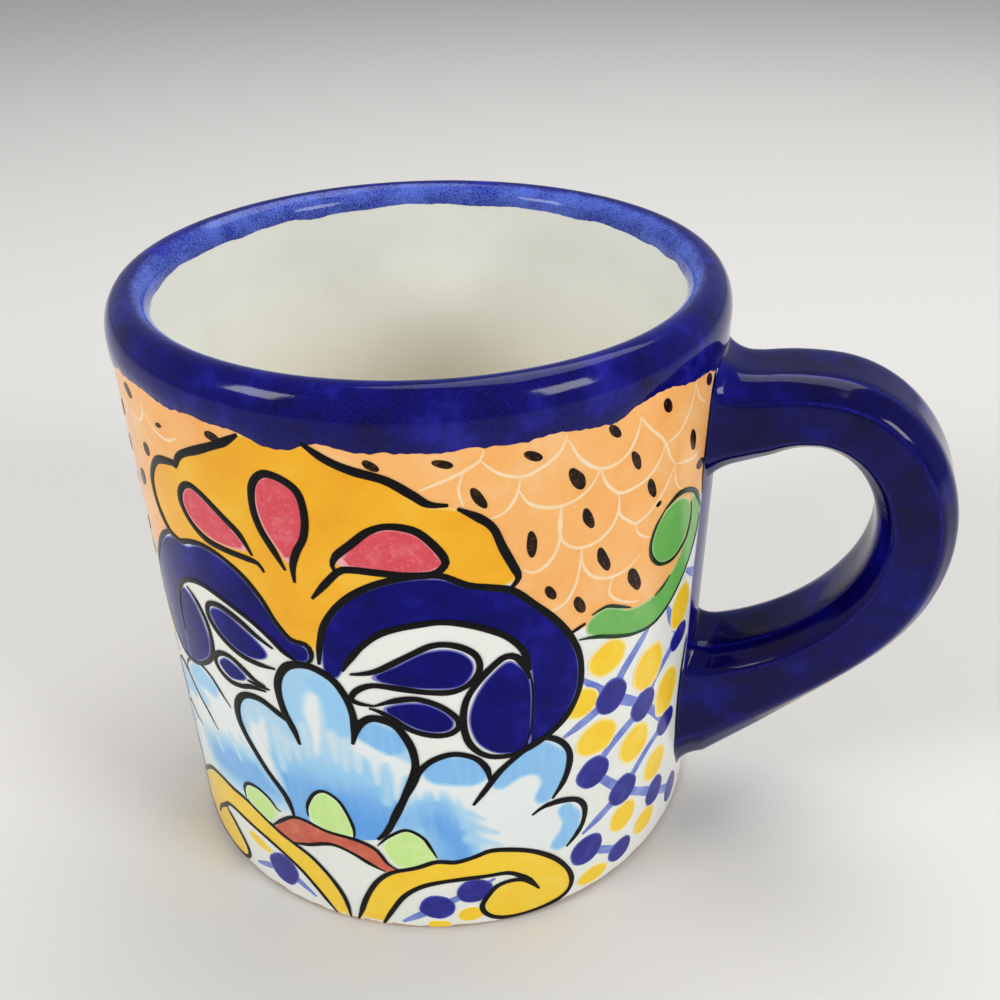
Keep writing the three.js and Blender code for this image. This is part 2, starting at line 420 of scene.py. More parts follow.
@dataclass(frozen=True)
class Wall:
    """The cup's wall, and the flat sheet that is wrapped on its outside.

    A place on the sheet is millimetres along the wall from the handle's middle line, anticlockwise seen
    from above, and millimetres up from the table.

    Args:
        rim_radius: outside radius under the lip.
        height: of the mug.
        base_radius: outside radius at the foot.
        sheet_radius: radius at which lengths on the sheet are true.
        thickness: of the wall.
        floor: thickness of the bottom.
        lip_shoulder: run and rise of the lip's outside round.
        lip_inside: run and rise of its inside round.
        lip_blend: height over which the lip runs into the inside wall.
        floor_fillet: radius between the inside wall and the bottom.
        foot_edge: radius under the foot.
    """

    rim_radius: float
    height: float
    base_radius: float = 45.2
    sheet_radius: float = 45.6
    thickness: float = 5.0
    floor: float = 6.0
    lip_shoulder: Point = (3.2, 5.0)
    lip_inside: Point = (3.0, 3.4)
    lip_blend: float = 8.0
    floor_fillet: float = 9.0
    foot_edge: float = 1.2

    @classmethod
    def from_frame(cls) -> "Wall":
        """Take the rim's radius and the height from the CAD cup."""
        low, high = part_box("cup_body")
        return cls(rim_radius=(high.x - low.x) / 2 / MM, height=(high.z - low.z) / MM)

    @property
    def slope(self) -> float:
        """Growth of the radius for each millimetre up."""
        return (self.rim_radius - self.base_radius) / (self.height - self.lip_shoulder[1] - self.foot_edge)

    def radius_at(self, up: float) -> float:
        """The outside radius at a height."""
        return self.base_radius + self.slope * (up - self.foot_edge)


class Face(Enum):
    """The two painted faces, which meet at the handle and opposite it. Near is the one towards -Y."""

    NEAR = 1
    FAR = -1


# Along the painter's own layout, the near face's flower stands at -19 and the handle at 55.7.
HANDLE_ALONG = 55.7
HIDDEN_AXIS = -19.0

# How far the far face's lines drift, over what length, and which slice and seed of the noise they follow.
HAND_WOBBLE = 0.7
WOBBLE_SPAN = 16.0
WOBBLE_SLICE = 40.0
WOBBLE_SEED = 7


@dataclass(frozen=True)
class Placing:
    """Where a motif goes on the sheet.

    Args:
        face: the face it is painted on. The far one is drawn again by hand, so its lines drift a little.
        mirrored: whether it is turned over the flower's axis, to the side away from the handle.
    """

    face: Face
    mirrored: bool = False

    def __call__(self, point: Point) -> Point:
        """Move a layout point to the sheet.

        Args:
            point: millimetres along the layout and up.

        Returns:
            Millimetres along the sheet and up.
        """
        along, up = point
        if self.mirrored:
            along = 2 * HIDDEN_AXIS - along
        if self.face is Face.FAR:
            drift = noise.noise_vector(Vector((along, up, WOBBLE_SLICE)) / WOBBLE_SPAN)
            along, up = along + HAND_WOBBLE * drift.x, up + HAND_WOBBLE * drift.y
        return self.face.value * (along - HANDLE_ALONG), up


# Lengths below this, in millimetres, count as nothing.
NO_LENGTH = 1e-6


def smooth_run(points: Outline, closed: bool, spacing: float) -> list[Point]:
    """Run a Catmull-Rom curve through points. A point given twice makes a corner.

    Args:
        points: the points to pass through.
        closed: whether the curve closes on itself.
        spacing: rough distance between the points returned.

    Returns:
        Points along the curve.
    """
    count = len(points)
    knots = [Vector(p) for p in points]
    at = (lambda i: knots[i % count]) if closed else (lambda i: knots[min(max(i, 0), count - 1)])
    run: list[Point] = []
    for i in range(count if closed else count - 1):
        a, b, c, d = at(i - 1), at(i), at(i + 1), at(i + 2)
        length = (c - b).length
        if length < NO_LENGTH:
            continue
        steps = max(2, round(length / spacing))
        for step in range(steps):
            t = step / steps
            bend = (2 * a - 5 * b + 4 * c - d) * t + (3 * b - a - 3 * c + d) * t * t
            place = b + 0.5 * t * ((c - a) + bend)
            run.append((place.x, place.y))
    if not closed:
        run.append(tuple(knots[-1]))
    return run


def gap_to_run(spots: np.ndarray, run: np.ndarray, halves: np.ndarray) -> np.ndarray:
    """Distance from each spot to the edge of a band that follows a run of points.

    Args:
        spots: rows of two.
        run: rows of two, in order.
        halves: half the band's breadth at each point of the run.

    Returns:
        One distance for each spot, below nought inside the band.
    """
    nearest = np.full(len(spots), np.inf)
    for a, b, near, far in zip(run, run[1:], halves, halves[1:]):
        along = b - a
        t = np.clip(((spots - a) @ along) / max(along @ along, NO_LENGTH**2), 0, 1)
        gap = np.hypot(*(spots - a - t[:, None] * along).T) - (near + (far - near) * t)
        nearest = np.minimum(nearest, gap)
    return nearest


def inside(spots: np.ndarray, outline: np.ndarray) -> np.ndarray:
    """Whether each spot is inside a closed outline, by counting crossings.

    Args:
        spots: rows of two.
        outline: rows of two, in order.

    Returns:
        One truth for each spot.
    """
    odd = np.zeros(len(spots), bool)
    for (x0, y0), (x1, y1) in zip(outline, np.roll(outline, -1, axis=0)):
        if y0 == y1:
            continue
        spans = (spots[:, 1] > y0) != (spots[:, 1] > y1)
        odd ^= spans & (spots[:, 0] < x0 + (spots[:, 1] - y0) * (x1 - x0) / (y1 - y0))
    return odd


# The inner spots of a filled shape keep clear of its outline by the triangles' size over this number.
CLEAR_OF_EDGE = 2.5

# The triangulation keeps what is inside the outline, and joins spots nearer than this.
INSIDE_ONLY = 1
SAME_SPOT = 1e-5


def triangles_in(outline: Outline, grid: float) -> tuple[np.ndarray, list, np.ndarray]:
    """Fill an outline with triangles small enough to bend round the wall.

    Args:
        outline: on the sheet, anticlockwise.
        grid: size of the triangles.

    Returns:
        Points, triangles, and each point's distance from the outline.
    """
    ring = np.array(outline)
    closed = np.vstack([ring, ring[:1]])
    no_breadth = np.zeros(len(closed))
    low, high = ring.min(0), ring.max(0)
    columns = np.arange(low[0], high[0], grid)
    rows = np.arange(low[1], high[1], grid)
    spots = np.array([(x + (k % 2) * grid / 2, y) for k, y in enumerate(rows) for x in columns])
    spots = spots[inside(spots, ring)]
    spots = spots[gap_to_run(spots, closed, no_breadth) > grid / CLEAR_OF_EDGE]
    points = [Vector(p) for p in np.vstack([ring, spots])]
    loop = list(range(len(ring)))
    found, _, faces, *_ = geometry.delaunay_2d_cdt(points, [], [loop], INSIDE_ONLY, SAME_SPOT)
    places = np.array([tuple(s) for s in found])
    return places, faces, gap_to_run(places, closed, no_breadth)


# The painter's marks

# Distance between points along an outline and along a stroke.
FILL_SPACING = 0.5
STROKE_SPACING = 0.7

# What share of a stroke's width is left at its tips, over what length they draw in, how uneven the width
# is, over what length, and which slice of the noise it follows.
TIP_SHARE = 0.4
TIP_RUN = 3.0
UNEVENNESS = 0.2
UNEVEN_SPAN = 4.0
UNEVEN_SLICE = 3.0


@dataclass(frozen=True)
class Wash:
    """A wet brush stroke in a petal, soft at its edges.

    Args:
        tone: what it leaves, from 0 for bare white to 1 for the deepest blue.
        soft: breadth over which it fades.
        course: along, up and half breadth at each of its points.
    """

    tone: float
    soft: float
    course: Sequence[Spot]

    def placed(self, place: Place) -> "Wash":
        """The same wash on the sheet."""
        return Wash(self.tone, self.soft, [(*place((x, y)), half) for x, y, half in self.course])

    def over(self, tones: np.ndarray, spots: np.ndarray) -> np.ndarray:
        """Lay the wash over the tones at some spots.

        Args:
            tones: one for each spot.
            spots: rows of two.

        Returns:
            The new tones.
        """
        course = np.array(self.course)
        gap = gap_to_run(spots, course[:, :2], course[:, 2])
        share = np.clip(0.5 - gap / self.soft, 0, 1)
        share = share * share * (3 - 2 * share)
        return tones + share * (self.tone - tones)


@dataclass(frozen=True)
class Fill:
    """A filled shape on the sheet: its outline, anticlockwise, and the washes in it."""

    outline: list[Point]
    washes: Sequence[Wash]


@dataclass(frozen=True)
class Stroke:
    """A brush stroke on the sheet: its course, and its width at its widest."""

    points: list[Point]
    width: float

    def half_widths(self) -> np.ndarray:
        """Work out how wide the stroke is along its course, drawn in at its tips and a little uneven.

        Returns:
            Half the width at each of its points.
        """
        steps = np.hypot(*np.diff(np.array(self.points), axis=0).T)
        run = np.concatenate([[0], np.cumsum(steps)])
        from_tip = np.minimum(run, run[-1] - run)
        drawn_in = TIP_SHARE + (1 - TIP_SHARE) * np.minimum(1, from_tip / TIP_RUN)
        spots = [Vector((x, y, UNEVEN_SLICE)) / UNEVEN_SPAN for x, y in self.points]
        uneven = [1 + UNEVENNESS * noise.noise(spot) for spot in spots]
        return self.width / 2 * drawn_in * uneven


@dataclass(frozen=True)
class Dab:
    """A touch of the brush, a dot or a seed: its place on the sheet, half sizes, and radians from level."""

    place: Point
    half_sizes: Point
    turn: float


@dataclass(frozen=True)
class Coat:
    """How one pigment lies on the wall.

    Args:
        finish: its glaze.
        lift: how far its marks stand off the wall, in millimetres.
        bead: how high a stroke stands, as a share of half its width.
        grid: size of the triangles in a filled shape.
        wander: how far a dab's edge strays.
    """

    finish: Glaze
    lift: float
    bead: float = 0.1
    grid: float = 1.5
    wander: float = 0.5


class Pigment(Enum):
    """The pigments, each with its coat."""

    PALE_BLUE = Coat(PALE_BLUE, 0.02, bead=0.05)
    ORANGE = Coat(ORANGE, 0.03)
    CREAM = Coat(CREAM, 0.04)
    PETAL = Coat(PETAL_BLUE, 0.05, grid=0.45)
    YELLOW_DOT = Coat(YELLOW_TOUCH, 0.08)
    DOT_BLUE = Coat(DOT_BLUE, 0.10)
    AMBER = Coat(AMBER, 0.07, grid=1.0)
    SCROLL = Coat(YELLOW, 0.07)
    GREEN = Coat(LEAF_GREEN, 0.09)
    LIME = Coat(LIME, 0.09)
    BRICK = Coat(BRICK, 0.10)
    PINK = Coat(PINK, 0.10)
    COBALT = Coat(COBALT_PAINT, 0.10, grid=0.8)
    SEED = Coat(SEED_BROWN, 0.09, wander=0.4)
    DARK_GREEN = Coat(DARK_GREEN, 0.12)
    BLACK = Coat(BLACK, 0.13)


@dataclass
class Sheet:
    """The flat sheet: every mark of every pigment, before it is wrapped on the wall."""

    fills: dict[Pigment, list[Fill]] = field(default_factory=dict)
    strokes: dict[Pigment, list[Stroke]] = field(default_factory=dict)
    dabs: dict[Pigment, list[Dab]] = field(default_factory=dict)

    def fill(self, pigment: Pigment, outline: Outline, place: Place, washes: Sequence[Wash] = ()) -> None:
        """Fill a closed outline.

        Args:
            pigment: to fill with.
            outline: in the layout's own millimetres.
            place: moves the layout to the sheet.
            washes: brushed into it, in order.
        """
        run = smooth_run([place(p) for p in outline], True, FILL_SPACING)
        area = sum(a[0] * b[1] - b[0] * a[1] for a, b in zip(run, run[1:] + run[:1]))
        shape = Fill(run if area > 0 else run[::-1], [wash.placed(place) for wash in washes])
        self.fills.setdefault(pigment, []).append(shape)

    def stroke(self, pigment: Pigment, course: Outline, place: Place, width: float) -> None:
        """Draw a brush stroke.

        Args:
            pigment: to draw with.
            course: in the layout's own millimetres.
            place: moves the layout to the sheet.
            width: at its widest.
        """
        run = smooth_run([place(p) for p in course], False, STROKE_SPACING)
        self.strokes.setdefault(pigment, []).append(Stroke(run, width))

    def dab(self, pigment: Pigment, at: Point, place: Place, half: Point, degrees: float) -> None:
        """Touch the brush down once.

        Args:
            pigment: to dab with.
            at: middle of the dab in the layout's own millimetres.
            place: moves the layout to the sheet.
            half: half its length and half its breadth.
            degrees: its lean from level.
        """
        middle = place(at)
        turn = math.radians(degrees)
        tip = place((at[0] + math.cos(turn), at[1] + math.sin(turn)))
        lean = math.atan2(tip[1] - middle[1], tip[0] - middle[0])
        self.dabs.setdefault(pigment, []).append(Dab(middle, half, lean))


# Motifs, in the layout's own millimetres


@dataclass(frozen=True)
class Lines:
    """Brush lines of one pigment.

    Args:
        pigment: of the lines.
        width: of the brush.
        courses: what each line follows.
    """

    pigment: Pigment
    width: float
    courses: Sequence[Outline]

    def paint(self, sheet: Sheet, place: Place) -> None:
        """Paint the lines on the sheet."""
        for course in self.courses:
            sheet.stroke(self.pigment, course, place, self.width)


@dataclass(frozen=True)
class Motif:
    """Filled shapes of one pigment, and the lines drawn round them.

    Args:
        pigment: of the shapes.
        shapes: closed outlines.
        lines: courses of the lines.
        width: of the lines.
        line_pigment: of the lines.
        washes: brushed into the shapes, in order.
    """

    pigment: Pigment
    shapes: Sequence[Outline]
    lines: Sequence[Outline] = ()
    width: float = 1.2
    line_pigment: Pigment = Pigment.BLACK
    washes: Sequence[Wash] = ()

    def paint(self, sheet: Sheet, place: Place) -> None:
        """Paint the shapes and their lines on the sheet.

        Args:
            sheet: to paint on.
            place: moves the layout to the sheet.
        """
        for shape in self.shapes:
            sheet.fill(self.pigment, shape, place, self.washes)
        Lines(self.line_pigment, self.width, self.lines).paint(sheet, place)


@dataclass(frozen=True)
class Touches:
    """Single touches of the brush in one pigment.

    Args:
        pigment: of the touches.
        marks: along, up, half length, half breadth and lean in degrees.
    """

    pigment: Pigment
    marks: Sequence[tuple[float, float, float, float, float]]

    def paint(self, sheet: Sheet, place: Place) -> None:
        """Paint the touches on the sheet."""
        for along, up, length, breadth, lean in self.marks:
            sheet.dab(self.pigment, (along, up), place, (length, breadth), lean)


# The amber fan under the rim, with three pink drops that hang in it.
AMBER_FAN = Motif(Pigment.AMBER, shapes=(
    ((-17.5, 56), (-17.5, 56), (-21, 57.5), (-23, 60), (-25, 63.5), (-28, 66.3), (-32, 68), (-36, 68.3),
     (-40, 66.3), (-43, 67), (-45.5, 70), (-46, 73), (-44.5, 76.5), (-41.5, 79), (-38, 79.9), (-35.5, 82),
     (-31.5, 84), (-27.5, 86), (-24.5, 88), (-20, 88.5), (-16, 88.5), (-13, 86.3), (-10, 85), (-6.5, 84),
     (-3, 81.8), (-1, 80.2), (2.5, 79.5), (5.5, 77.8), (7.5, 75), (9, 71.5), (9.8, 69.5), (9.3, 67.5),
     (6, 67), (3, 67.8), (0, 69.5), (-4, 70), (-8, 69), (-12, 66.5), (-15, 62.5), (-16.5, 58.5)),
), lines=(
    ((-40.5, 66.3), (-43, 66.8), (-45.3, 69.3), (-46, 72.3), (-45.2, 75.3), (-42.3, 78.6), (-38.3, 79.9),
     (-37.3, 79.8), (-37.3, 79.8), (-35.5, 82), (-31, 84.3), (-27, 86.3), (-24.4, 88)),
    ((-16, 88.6), (-13, 86.5), (-10, 85.2), (-6, 84), (-3, 82), (-1, 80.5), (1.4, 80.2)),
    ((2.5, 79.6), (5, 78), (6.8, 76.2), (8, 73), (9.3, 70), (10, 68), (9, 66.5)),
))
PINK_DROPS = Motif(Pigment.PINK, shapes=(
    ((-20.5, 83), (-18.3, 82.3), (-16.8, 80.5), (-16.5, 77.5), (-17.2, 74.5), (-18.5, 72), (-19.8, 70.3),
     (-21, 72), (-22.6, 75), (-23.3, 78), (-23, 81), (-21.8, 82.8)),
    ((-36.9, 75.5), (-35, 77.4), (-32.5, 76.5), (-29, 74.2), (-27, 72.3), (-26, 70.6), (-28.5, 70.1),
     (-32, 70.2), (-35, 71.3), (-37, 73.3)),
    ((-13, 71.3), (-11.5, 73.8), (-9, 76), (-6, 77), (-3, 76.3), (-1, 74.3), (0.4, 71.8), (-0.5, 70.6),
     (-4, 70.3), (-8, 70.5), (-11, 71)),
), lines=(
    ((-20.3, 69), (-21.5, 71.5), (-23.2, 74.8), (-23.8, 78), (-23.3, 81.3), (-21.5, 83.2), (-19, 82.9),
     (-17, 81.3), (-16.5, 78), (-17, 74.8), (-18.3, 72.3), (-19.1, 70), (-19.2, 67.3)),
    ((-25.2, 70), (-26.8, 72.8), (-29, 74.6), (-32.5, 77), (-35, 77.7), (-37, 76.3), (-37.7, 74),
     (-36.3, 71.5), (-33.5, 69.8), (-30, 69.4), (-27, 69.3), (-24.5, 69), (-23.7, 67.8)),
    ((-17, 65.2), (-14.8, 68), (-12.8, 70.2), (-11, 70.6), (-8, 70.4), (-4, 70), (-1, 70.1), (0.5, 71.2),
     (0.6, 72.5), (-1, 75), (-3, 76.8), (-6, 77.4), (-8.5, 76.6), (-11, 74.4), (-13, 72.5), (-13.6, 71),
     (-13.2, 70)),
), width=1.1)

# The cobalt bands that hook round the petals, each with an oval at its end and two leaves inside.
RIGHT_HOOK = Motif(Pigment.COBALT, shapes=(
    ((-16.3, 52.3), (-16.8, 54), (-16.3, 58.5), (-15, 62), (-12.5, 65.3), (-9, 67.8), (-4.5, 69.3),
     (0, 69.3), (3, 67.8), (6, 67), (9, 66), (12, 63), (15, 59.5), (17.5, 55.5), (19, 51), (19, 46),
     (17.3, 42), (14.5, 39.3), (11.5, 37.6), (11.8, 42), (11.9, 46.5), (11.8, 51.5), (10.8, 55.3),
     (8.3, 58.6), (4.3, 60.9), (0, 62.1), (-4, 61.7), (-8, 60.4), (-11, 58), (-13, 55.3), (-14.2, 53),
     (-15, 52)),
    ((8.2, 54.3), (5.5, 51.8), (3.6, 48.3), (2.9, 44.5), (3.8, 40.6), (6.1, 38.1), (9, 37.2), (11.5, 37.6),
     (11.8, 42), (11.9, 47), (11.4, 51), (9.8, 53.5)),
), lines=(
    ((-17.3, 54), (-16.8, 57.5), (-15.6, 61.5), (-13, 65.2), (-9, 68.2), (-4, 69.8), (0, 69.8), (3.3, 68),
     (6.2, 67.2), (9.3, 66), (12.3, 63), (15.5, 59.3), (18, 55.2), (19.4, 51), (19.4, 46), (17.6, 41.8),
     (14.5, 39), (11, 37.3), (8, 36.9), (5, 37.8), (2.8, 40.5), (2.1, 44.5), (2.6, 48.5), (4.5, 51.9),
     (6.8, 54.4), (8.2, 55.3), (9.6, 54.9), (10.8, 53), (11.6, 50.5)),
    ((-14, 53.5), (-12.9, 55.5), (-10.8, 58.3), (-8, 60.7), (-4, 62), (0, 62.4), (4, 61.3), (8, 59),
     (10.6, 55.8), (11.7, 52)),
), width=1.05)
RIGHT_LEAVES = Motif(Pigment.COBALT, shapes=(
    ((-10, 52.8), (-6.5, 55.2), (-3, 57.3), (0, 57.8), (2.5, 56.8), (3.8, 54.8), (3.3, 52.5), (1.5, 51),
     (-2, 51), (-6, 51.5)),
    ((-8.8, 47.4), (-6, 48.5), (-3, 48.4), (-0.5, 46.8), (0.8, 44.8), (0.2, 43.3), (-2, 43), (-4.5, 43.8),
     (-7, 45.6)),
), lines=(
    ((-13, 53.1), (-9.5, 54), (-5, 56.8), (-1.5, 58.6), (1.5, 58.3), (4, 56.5), (4.6, 54), (3.5, 51.8),
     (1, 50.4), (-2.5, 50.5), (-6.5, 51.2), (-10, 51.5), (-12.3, 50.3), (-13.2, 48.7), (-12.2, 48),
     (-10, 47.8)),
    ((-10, 47.8), (-7, 49), (-4, 49.3), (-1, 47.9), (1, 45.8), (1.5, 44), (0.3, 42.7), (-2, 42.5),
     (-5, 43.5), (-7.5, 45.5), (-9.3, 46.8), (-10.8, 47.3)),
), width=0.95)
OVAL_LINE = Lines(Pigment.BLACK, 0.4, (((11.5, 52), (12, 48.5), (12, 44), (11.7, 40.5), (10.8, 38)),))
LEFT_HOOK = Motif(Pigment.COBALT, shapes=(
    ((-18.9, 54.2), (-18.7, 56), (-19.5, 56.8), (-21.3, 57.1), (-23, 59), (-24.7, 62), (-26.7, 64.7),
     (-29.5, 66.8), (-33, 67.9), (-36, 67.7), (-39, 66.3), (-42, 66.2), (-44.5, 65.3), (-47.5, 63),
     (-50.5, 59.8), (-53, 55.5), (-54.3, 51), (-54, 46.8), (-52, 43.8), (-49, 42), (-46.3, 42.3),
     (-46.1, 46), (-46.3, 50), (-45.4, 54), (-43.8, 57), (-41.5, 59.2), (-38.5, 60.4), (-35, 60.7),
     (-31, 60), (-27.5, 58.6), (-25, 56.9), (-23, 55), (-21.5, 53.8), (-20.3, 53.7)),
    ((-42.3, 57.3), (-40, 56), (-38.5, 53), (-38, 50), (-38.8, 47), (-41, 44.7), (-43.5, 43),
     (-46.2, 42.4), (-46.1, 46), (-46.2, 50), (-45.2, 54), (-43.8, 56.5)),
), lines=(
    ((-19.6, 53.6), (-18.5, 54.4), (-18.3, 56), (-19, 57.1), (-21.2, 57.4), (-23.3, 60), (-25, 63.2),
     (-27.8, 66.2), (-31.5, 68), (-35, 68.3), (-38, 67.5), (-40.5, 66.5), (-43, 66.7), (-46, 65),
     (-49.5, 61.5), (-52.5, 57.5), (-54.5, 53), (-55, 48.5), (-53.5, 44.5), (-50.5, 42), (-47.5, 41.5),
     (-44, 42.4), (-40.8, 44.3), (-38.3, 46.8), (-37.3, 50), (-37.6, 53.5), (-39.3, 56.6), (-41.5, 58.2)),
    ((-20.4, 53.5), (-22.5, 54.6), (-25, 56.8), (-28, 58.7), (-32, 60.1), (-36, 60.8), (-39.5, 60.2),
     (-42.3, 58.6), (-44.5, 56), (-45.8, 52), (-46, 47.5)),
), width=0.85)
LEFT_LEAVES = Motif(Pigment.COBALT, shapes=(
    ((-36.1, 56.2), (-35, 57.6), (-32.5, 57.8), (-30, 56.8), (-27, 55), (-25.6, 53.3), (-26.5, 52),
     (-29, 51.4), (-32, 52), (-34.8, 53.8)),
    ((-36.3, 47.2), (-34.7, 48.6), (-32.5, 48.3), (-30.6, 47), (-31.5, 45.9), (-34, 45.2), (-35.7, 46)),
), lines=(
    ((-24.4, 54.7), (-27, 56), (-30, 57.7), (-33.3, 58.6), (-36, 57.8), (-36.8, 55.7), (-35.6, 53.6),
     (-33.3, 52), (-30.5, 51), (-27.5, 50.8), (-24.6, 51)),
    ((-27, 46.9), (-29, 47.3), (-31.2, 48.6), (-33.3, 49.5), (-35.6, 49.1), (-37.3, 47.4), (-36.8, 45.5),
     (-34.6, 44.4), (-32, 44.7), (-29.8, 45.6), (-27, 45.9)),
    ((-30.4, 46.6), (-28.5, 46.5), (-26.3, 46.5)),
), width=0.95)

# The three upright petals in the middle: light tips, white flames, and a mid-blue foot.
CENTRE_PETALS = Motif(Pigment.PETAL, shapes=(
    ((-25.6, 21.2), (-26.5, 24.5), (-29.5, 28.3), (-31.8, 32), (-33.5, 35.5), (-33.8, 38.2), (-33, 41),
     (-31, 43), (-28.5, 43.3), (-25.8, 42.2), (-23.5, 41.2), (-24.3, 45), (-24.2, 48.5), (-23, 51),
     (-21, 52.5), (-18.8, 52.7), (-16.5, 51.7), (-14.7, 49.3), (-13.8, 46.3), (-13.6, 42.5), (-12.8, 43),
     (-11.5, 44.7), (-9.8, 45), (-7.8, 44), (-6.2, 41.5), (-5.5, 39), (-5.4, 36.3), (-6.2, 33), (-7.7, 29),
     (-9.2, 25.3), (-10.6, 22.5), (-12, 20.6), (-15.5, 19.9), (-20, 20.2), (-24, 20.9)),
), lines=(
    ((-22.4, 37.5), (-23, 40), (-24.3, 43.5), (-24.7, 47.5), (-23.8, 50.5), (-22, 52.6), (-19, 53.3),
     (-16, 52), (-14.3, 49.5), (-13.3, 46), (-13.3, 42.5), (-13.8, 40)),
    ((-23, 41), (-25.5, 42.5), (-28.5, 43.8), (-31.5, 43.2), (-33.5, 41), (-34.2, 38), (-33.5, 35),
     (-31.5, 31.5), (-29.5, 28.5), (-27, 25.3), (-26, 22.5), (-25.8, 21)),
    ((-13.8, 40), (-13, 43), (-11.5, 45), (-9.8, 45.5), (-7.5, 44.5), (-6, 42), (-5.2, 39.5), (-5, 36.5),
     (-5.8, 33.5), (-7.2, 29.5), (-8.8, 25.5), (-10.2, 22.5), (-11.7, 20.7)),
), width=1.25, washes=(
    Wash(0.5, 4, ((-34, 46, 16), (-5, 46, 16))),
    Wash(0.86, 9, ((-36, 23, 10), (-4, 23, 10))),
    Wash(1.0, 7, ((-17, 25, 3), (-11, 22, 3))),
    Wash(0.55, 1.5, ((-22.6, 43, 1.6), (-22.6, 48, 1.8), (-20.5, 51, 1.6))),
    Wash(0.68, 1.5, ((-15.6, 42.5, 1.6), (-15.8, 47, 1.9), (-18, 50.3, 1.6))),
    Wash(0.04, 1.4, ((-19.2, 47.4, 1), (-19.6, 44.5, 1.4), (-19.4, 41, 0.9), (-19.7, 36.8, 0.4))),
    Wash(0.2, 1.5, ((-17, 41, 0.9), (-16.7, 36, 0.2))),
    Wash(0.22, 1.6, ((-15.2, 40, 0.7), (-15.3, 34.8, 0.2))),
    Wash(0.16, 1.5, ((-13.3, 40.3, 0.9), (-13.4, 34.5, 0.2))),
    Wash(0.24, 1.5, ((-21.4, 41.4, 0.6), (-21.1, 35.6, 0.2))),
    Wash(0.25, 1.6, ((-23.4, 37, 0.7), (-23, 34.2, 0.2))),
    Wash(0.04, 1.2, ((-12.8, 39.6, 1.2), (-9.5, 37.8, 1.4), (-6.6, 36, 1.4))),
    Wash(0.1, 1.5, ((-11, 38, 1), (-10.7, 32.6, 0.2))),
    Wash(0.08, 1.4, ((-7.4, 36.5, 1.1), (-8.1, 30, 0.3))),
    Wash(0.5, 1.2, ((-9.2, 36.6, 0.4), (-9.6, 29, 0.7))),
    Wash(0.6, 1.2, ((-12.1, 36.8, 0.3), (-12, 32.5, 0.4))),
    Wash(0.8, 0.5, ((-11, 42.6, 2.2), (-8.3, 41, 2.4))),
    Wash(0.42, 1.5, ((-31.5, 38.5, 1.8), (-29.5, 41, 1.8), (-26.5, 40.5, 1.6))),
    Wash(0.05, 1.5, ((-28.8, 40, 0.3), (-29.3, 37.3, 1.1), (-28.8, 34, 0.4))),
    Wash(0.04, 1.6, ((-31, 37.6, 0.7), (-31, 35, 1.4), (-29.6, 31.4, 1.4), (-27.7, 27.2, 0.7))),
    Wash(0.35, 1.4, ((-26.5, 38.5, 1), (-26.3, 31, 0.6))),
    Wash(0.2, 1.4, ((-25, 37.5, 0.6), (-24.8, 33.5, 0.2))),
    Wash(0.35, 1.6, ((-28, 29.6, 0.4), (-27, 25.2, 0.5))),
))

# The petals that lean out at the flower's sides: a blue tip and a blue foot, with bare white between.
RIGHT_PETALS = Motif(Pigment.PETAL, shapes=(
    ((-10, 22.7), (-8, 28), (-5.5, 33), (-4.5, 35.5), (-2.5, 37.7), (0.5, 38.6), (3.5, 37.4), (5.2, 35),
     (5.6, 32.6), (7, 34), (9.5, 36.3), (12, 37.9), (14, 38.5), (16.5, 36.7), (17.8, 34), (17.9, 31),
     (16.9, 28), (15.4, 25.3), (17, 24.3), (19.8, 22.9), (21, 20.5), (20.9, 17.5), (19.7, 15.3),
     (17.6, 13), (15, 14), (12.7, 15.4), (9, 17), (5.5, 17.7), (3, 17), (0, 16.2), (-2.7, 16.5),
     (-3.6, 19.5), (-5, 22), (-7, 23.2), (-8.8, 22.4)),
), lines=(
    ((-10, 23), (-8, 28), (-5.5, 33), (-4.5, 35.5), (-2.5, 37.7), (0.5, 38.7), (3.5, 37.5), (5.2, 35),
     (5.6, 32.3)),
    ((3, 28), (5, 31), (7, 34), (9.5, 36.3), (12, 38), (14, 38.6), (16.5, 36.8), (18, 34), (18, 31),
     (17, 28), (15.3, 25.5)),
    ((12, 23.3), (14, 24.4), (17, 24.3), (19.8, 23), (21.2, 20.5), (21, 17.5), (19.8, 15.3), (18, 13.5)),
), width=1.05, washes=(
    Wash(0.78, 4, ((-7, 25, 3), (-3, 27, 4), (-1, 22, 4.2), (0, 17.5, 4))),
    Wash(0.95, 5, ((-2.5, 25, 1.2), (0, 21, 1.6), (0.8, 17, 1.5))),
    Wash(0.5, 1.2, ((1.2, 27, 0.8), (4.6, 24.6, 0.2))),
    Wash(0.55, 1.4, ((2, 24, 0.9), (6.6, 21.2, 0.2))),
    Wash(0.5, 1.4, ((2.4, 21, 1), (7, 18.4, 0.2))),
    Wash(0.05, 1, ((-4.5, 33, 0.5), (-4.7, 30.2, 0.2))),
    Wash(0.05, 1, ((-2.5, 33, 0.7), (-2.2, 29.8, 0.2))),
    Wash(0.05, 1, ((-0.2, 32.2, 0.7), (0.3, 29, 0.2))),
    Wash(0.05, 1, ((1.9, 31.3, 0.7), (2, 27.4, 0.2))),
    Wash(0.8, 0.8, ((-1.4, 35.6, 2.8), (2.8, 34.9, 2.9))),
    Wash(0.77, 0.8, ((7.2, 31.8, 1.4), (9.6, 34, 2.2), (12.7, 35, 3.1), (15.2, 33, 2.7),
                     (15.8, 29.5, 2.2), (14, 26.7, 1.6))),
    Wash(0.74, 0.6, ((17.6, 22, 1.3), (18.9, 19.5, 1.6), (18.5, 17, 1.8), (16.8, 15, 1.6))),
))
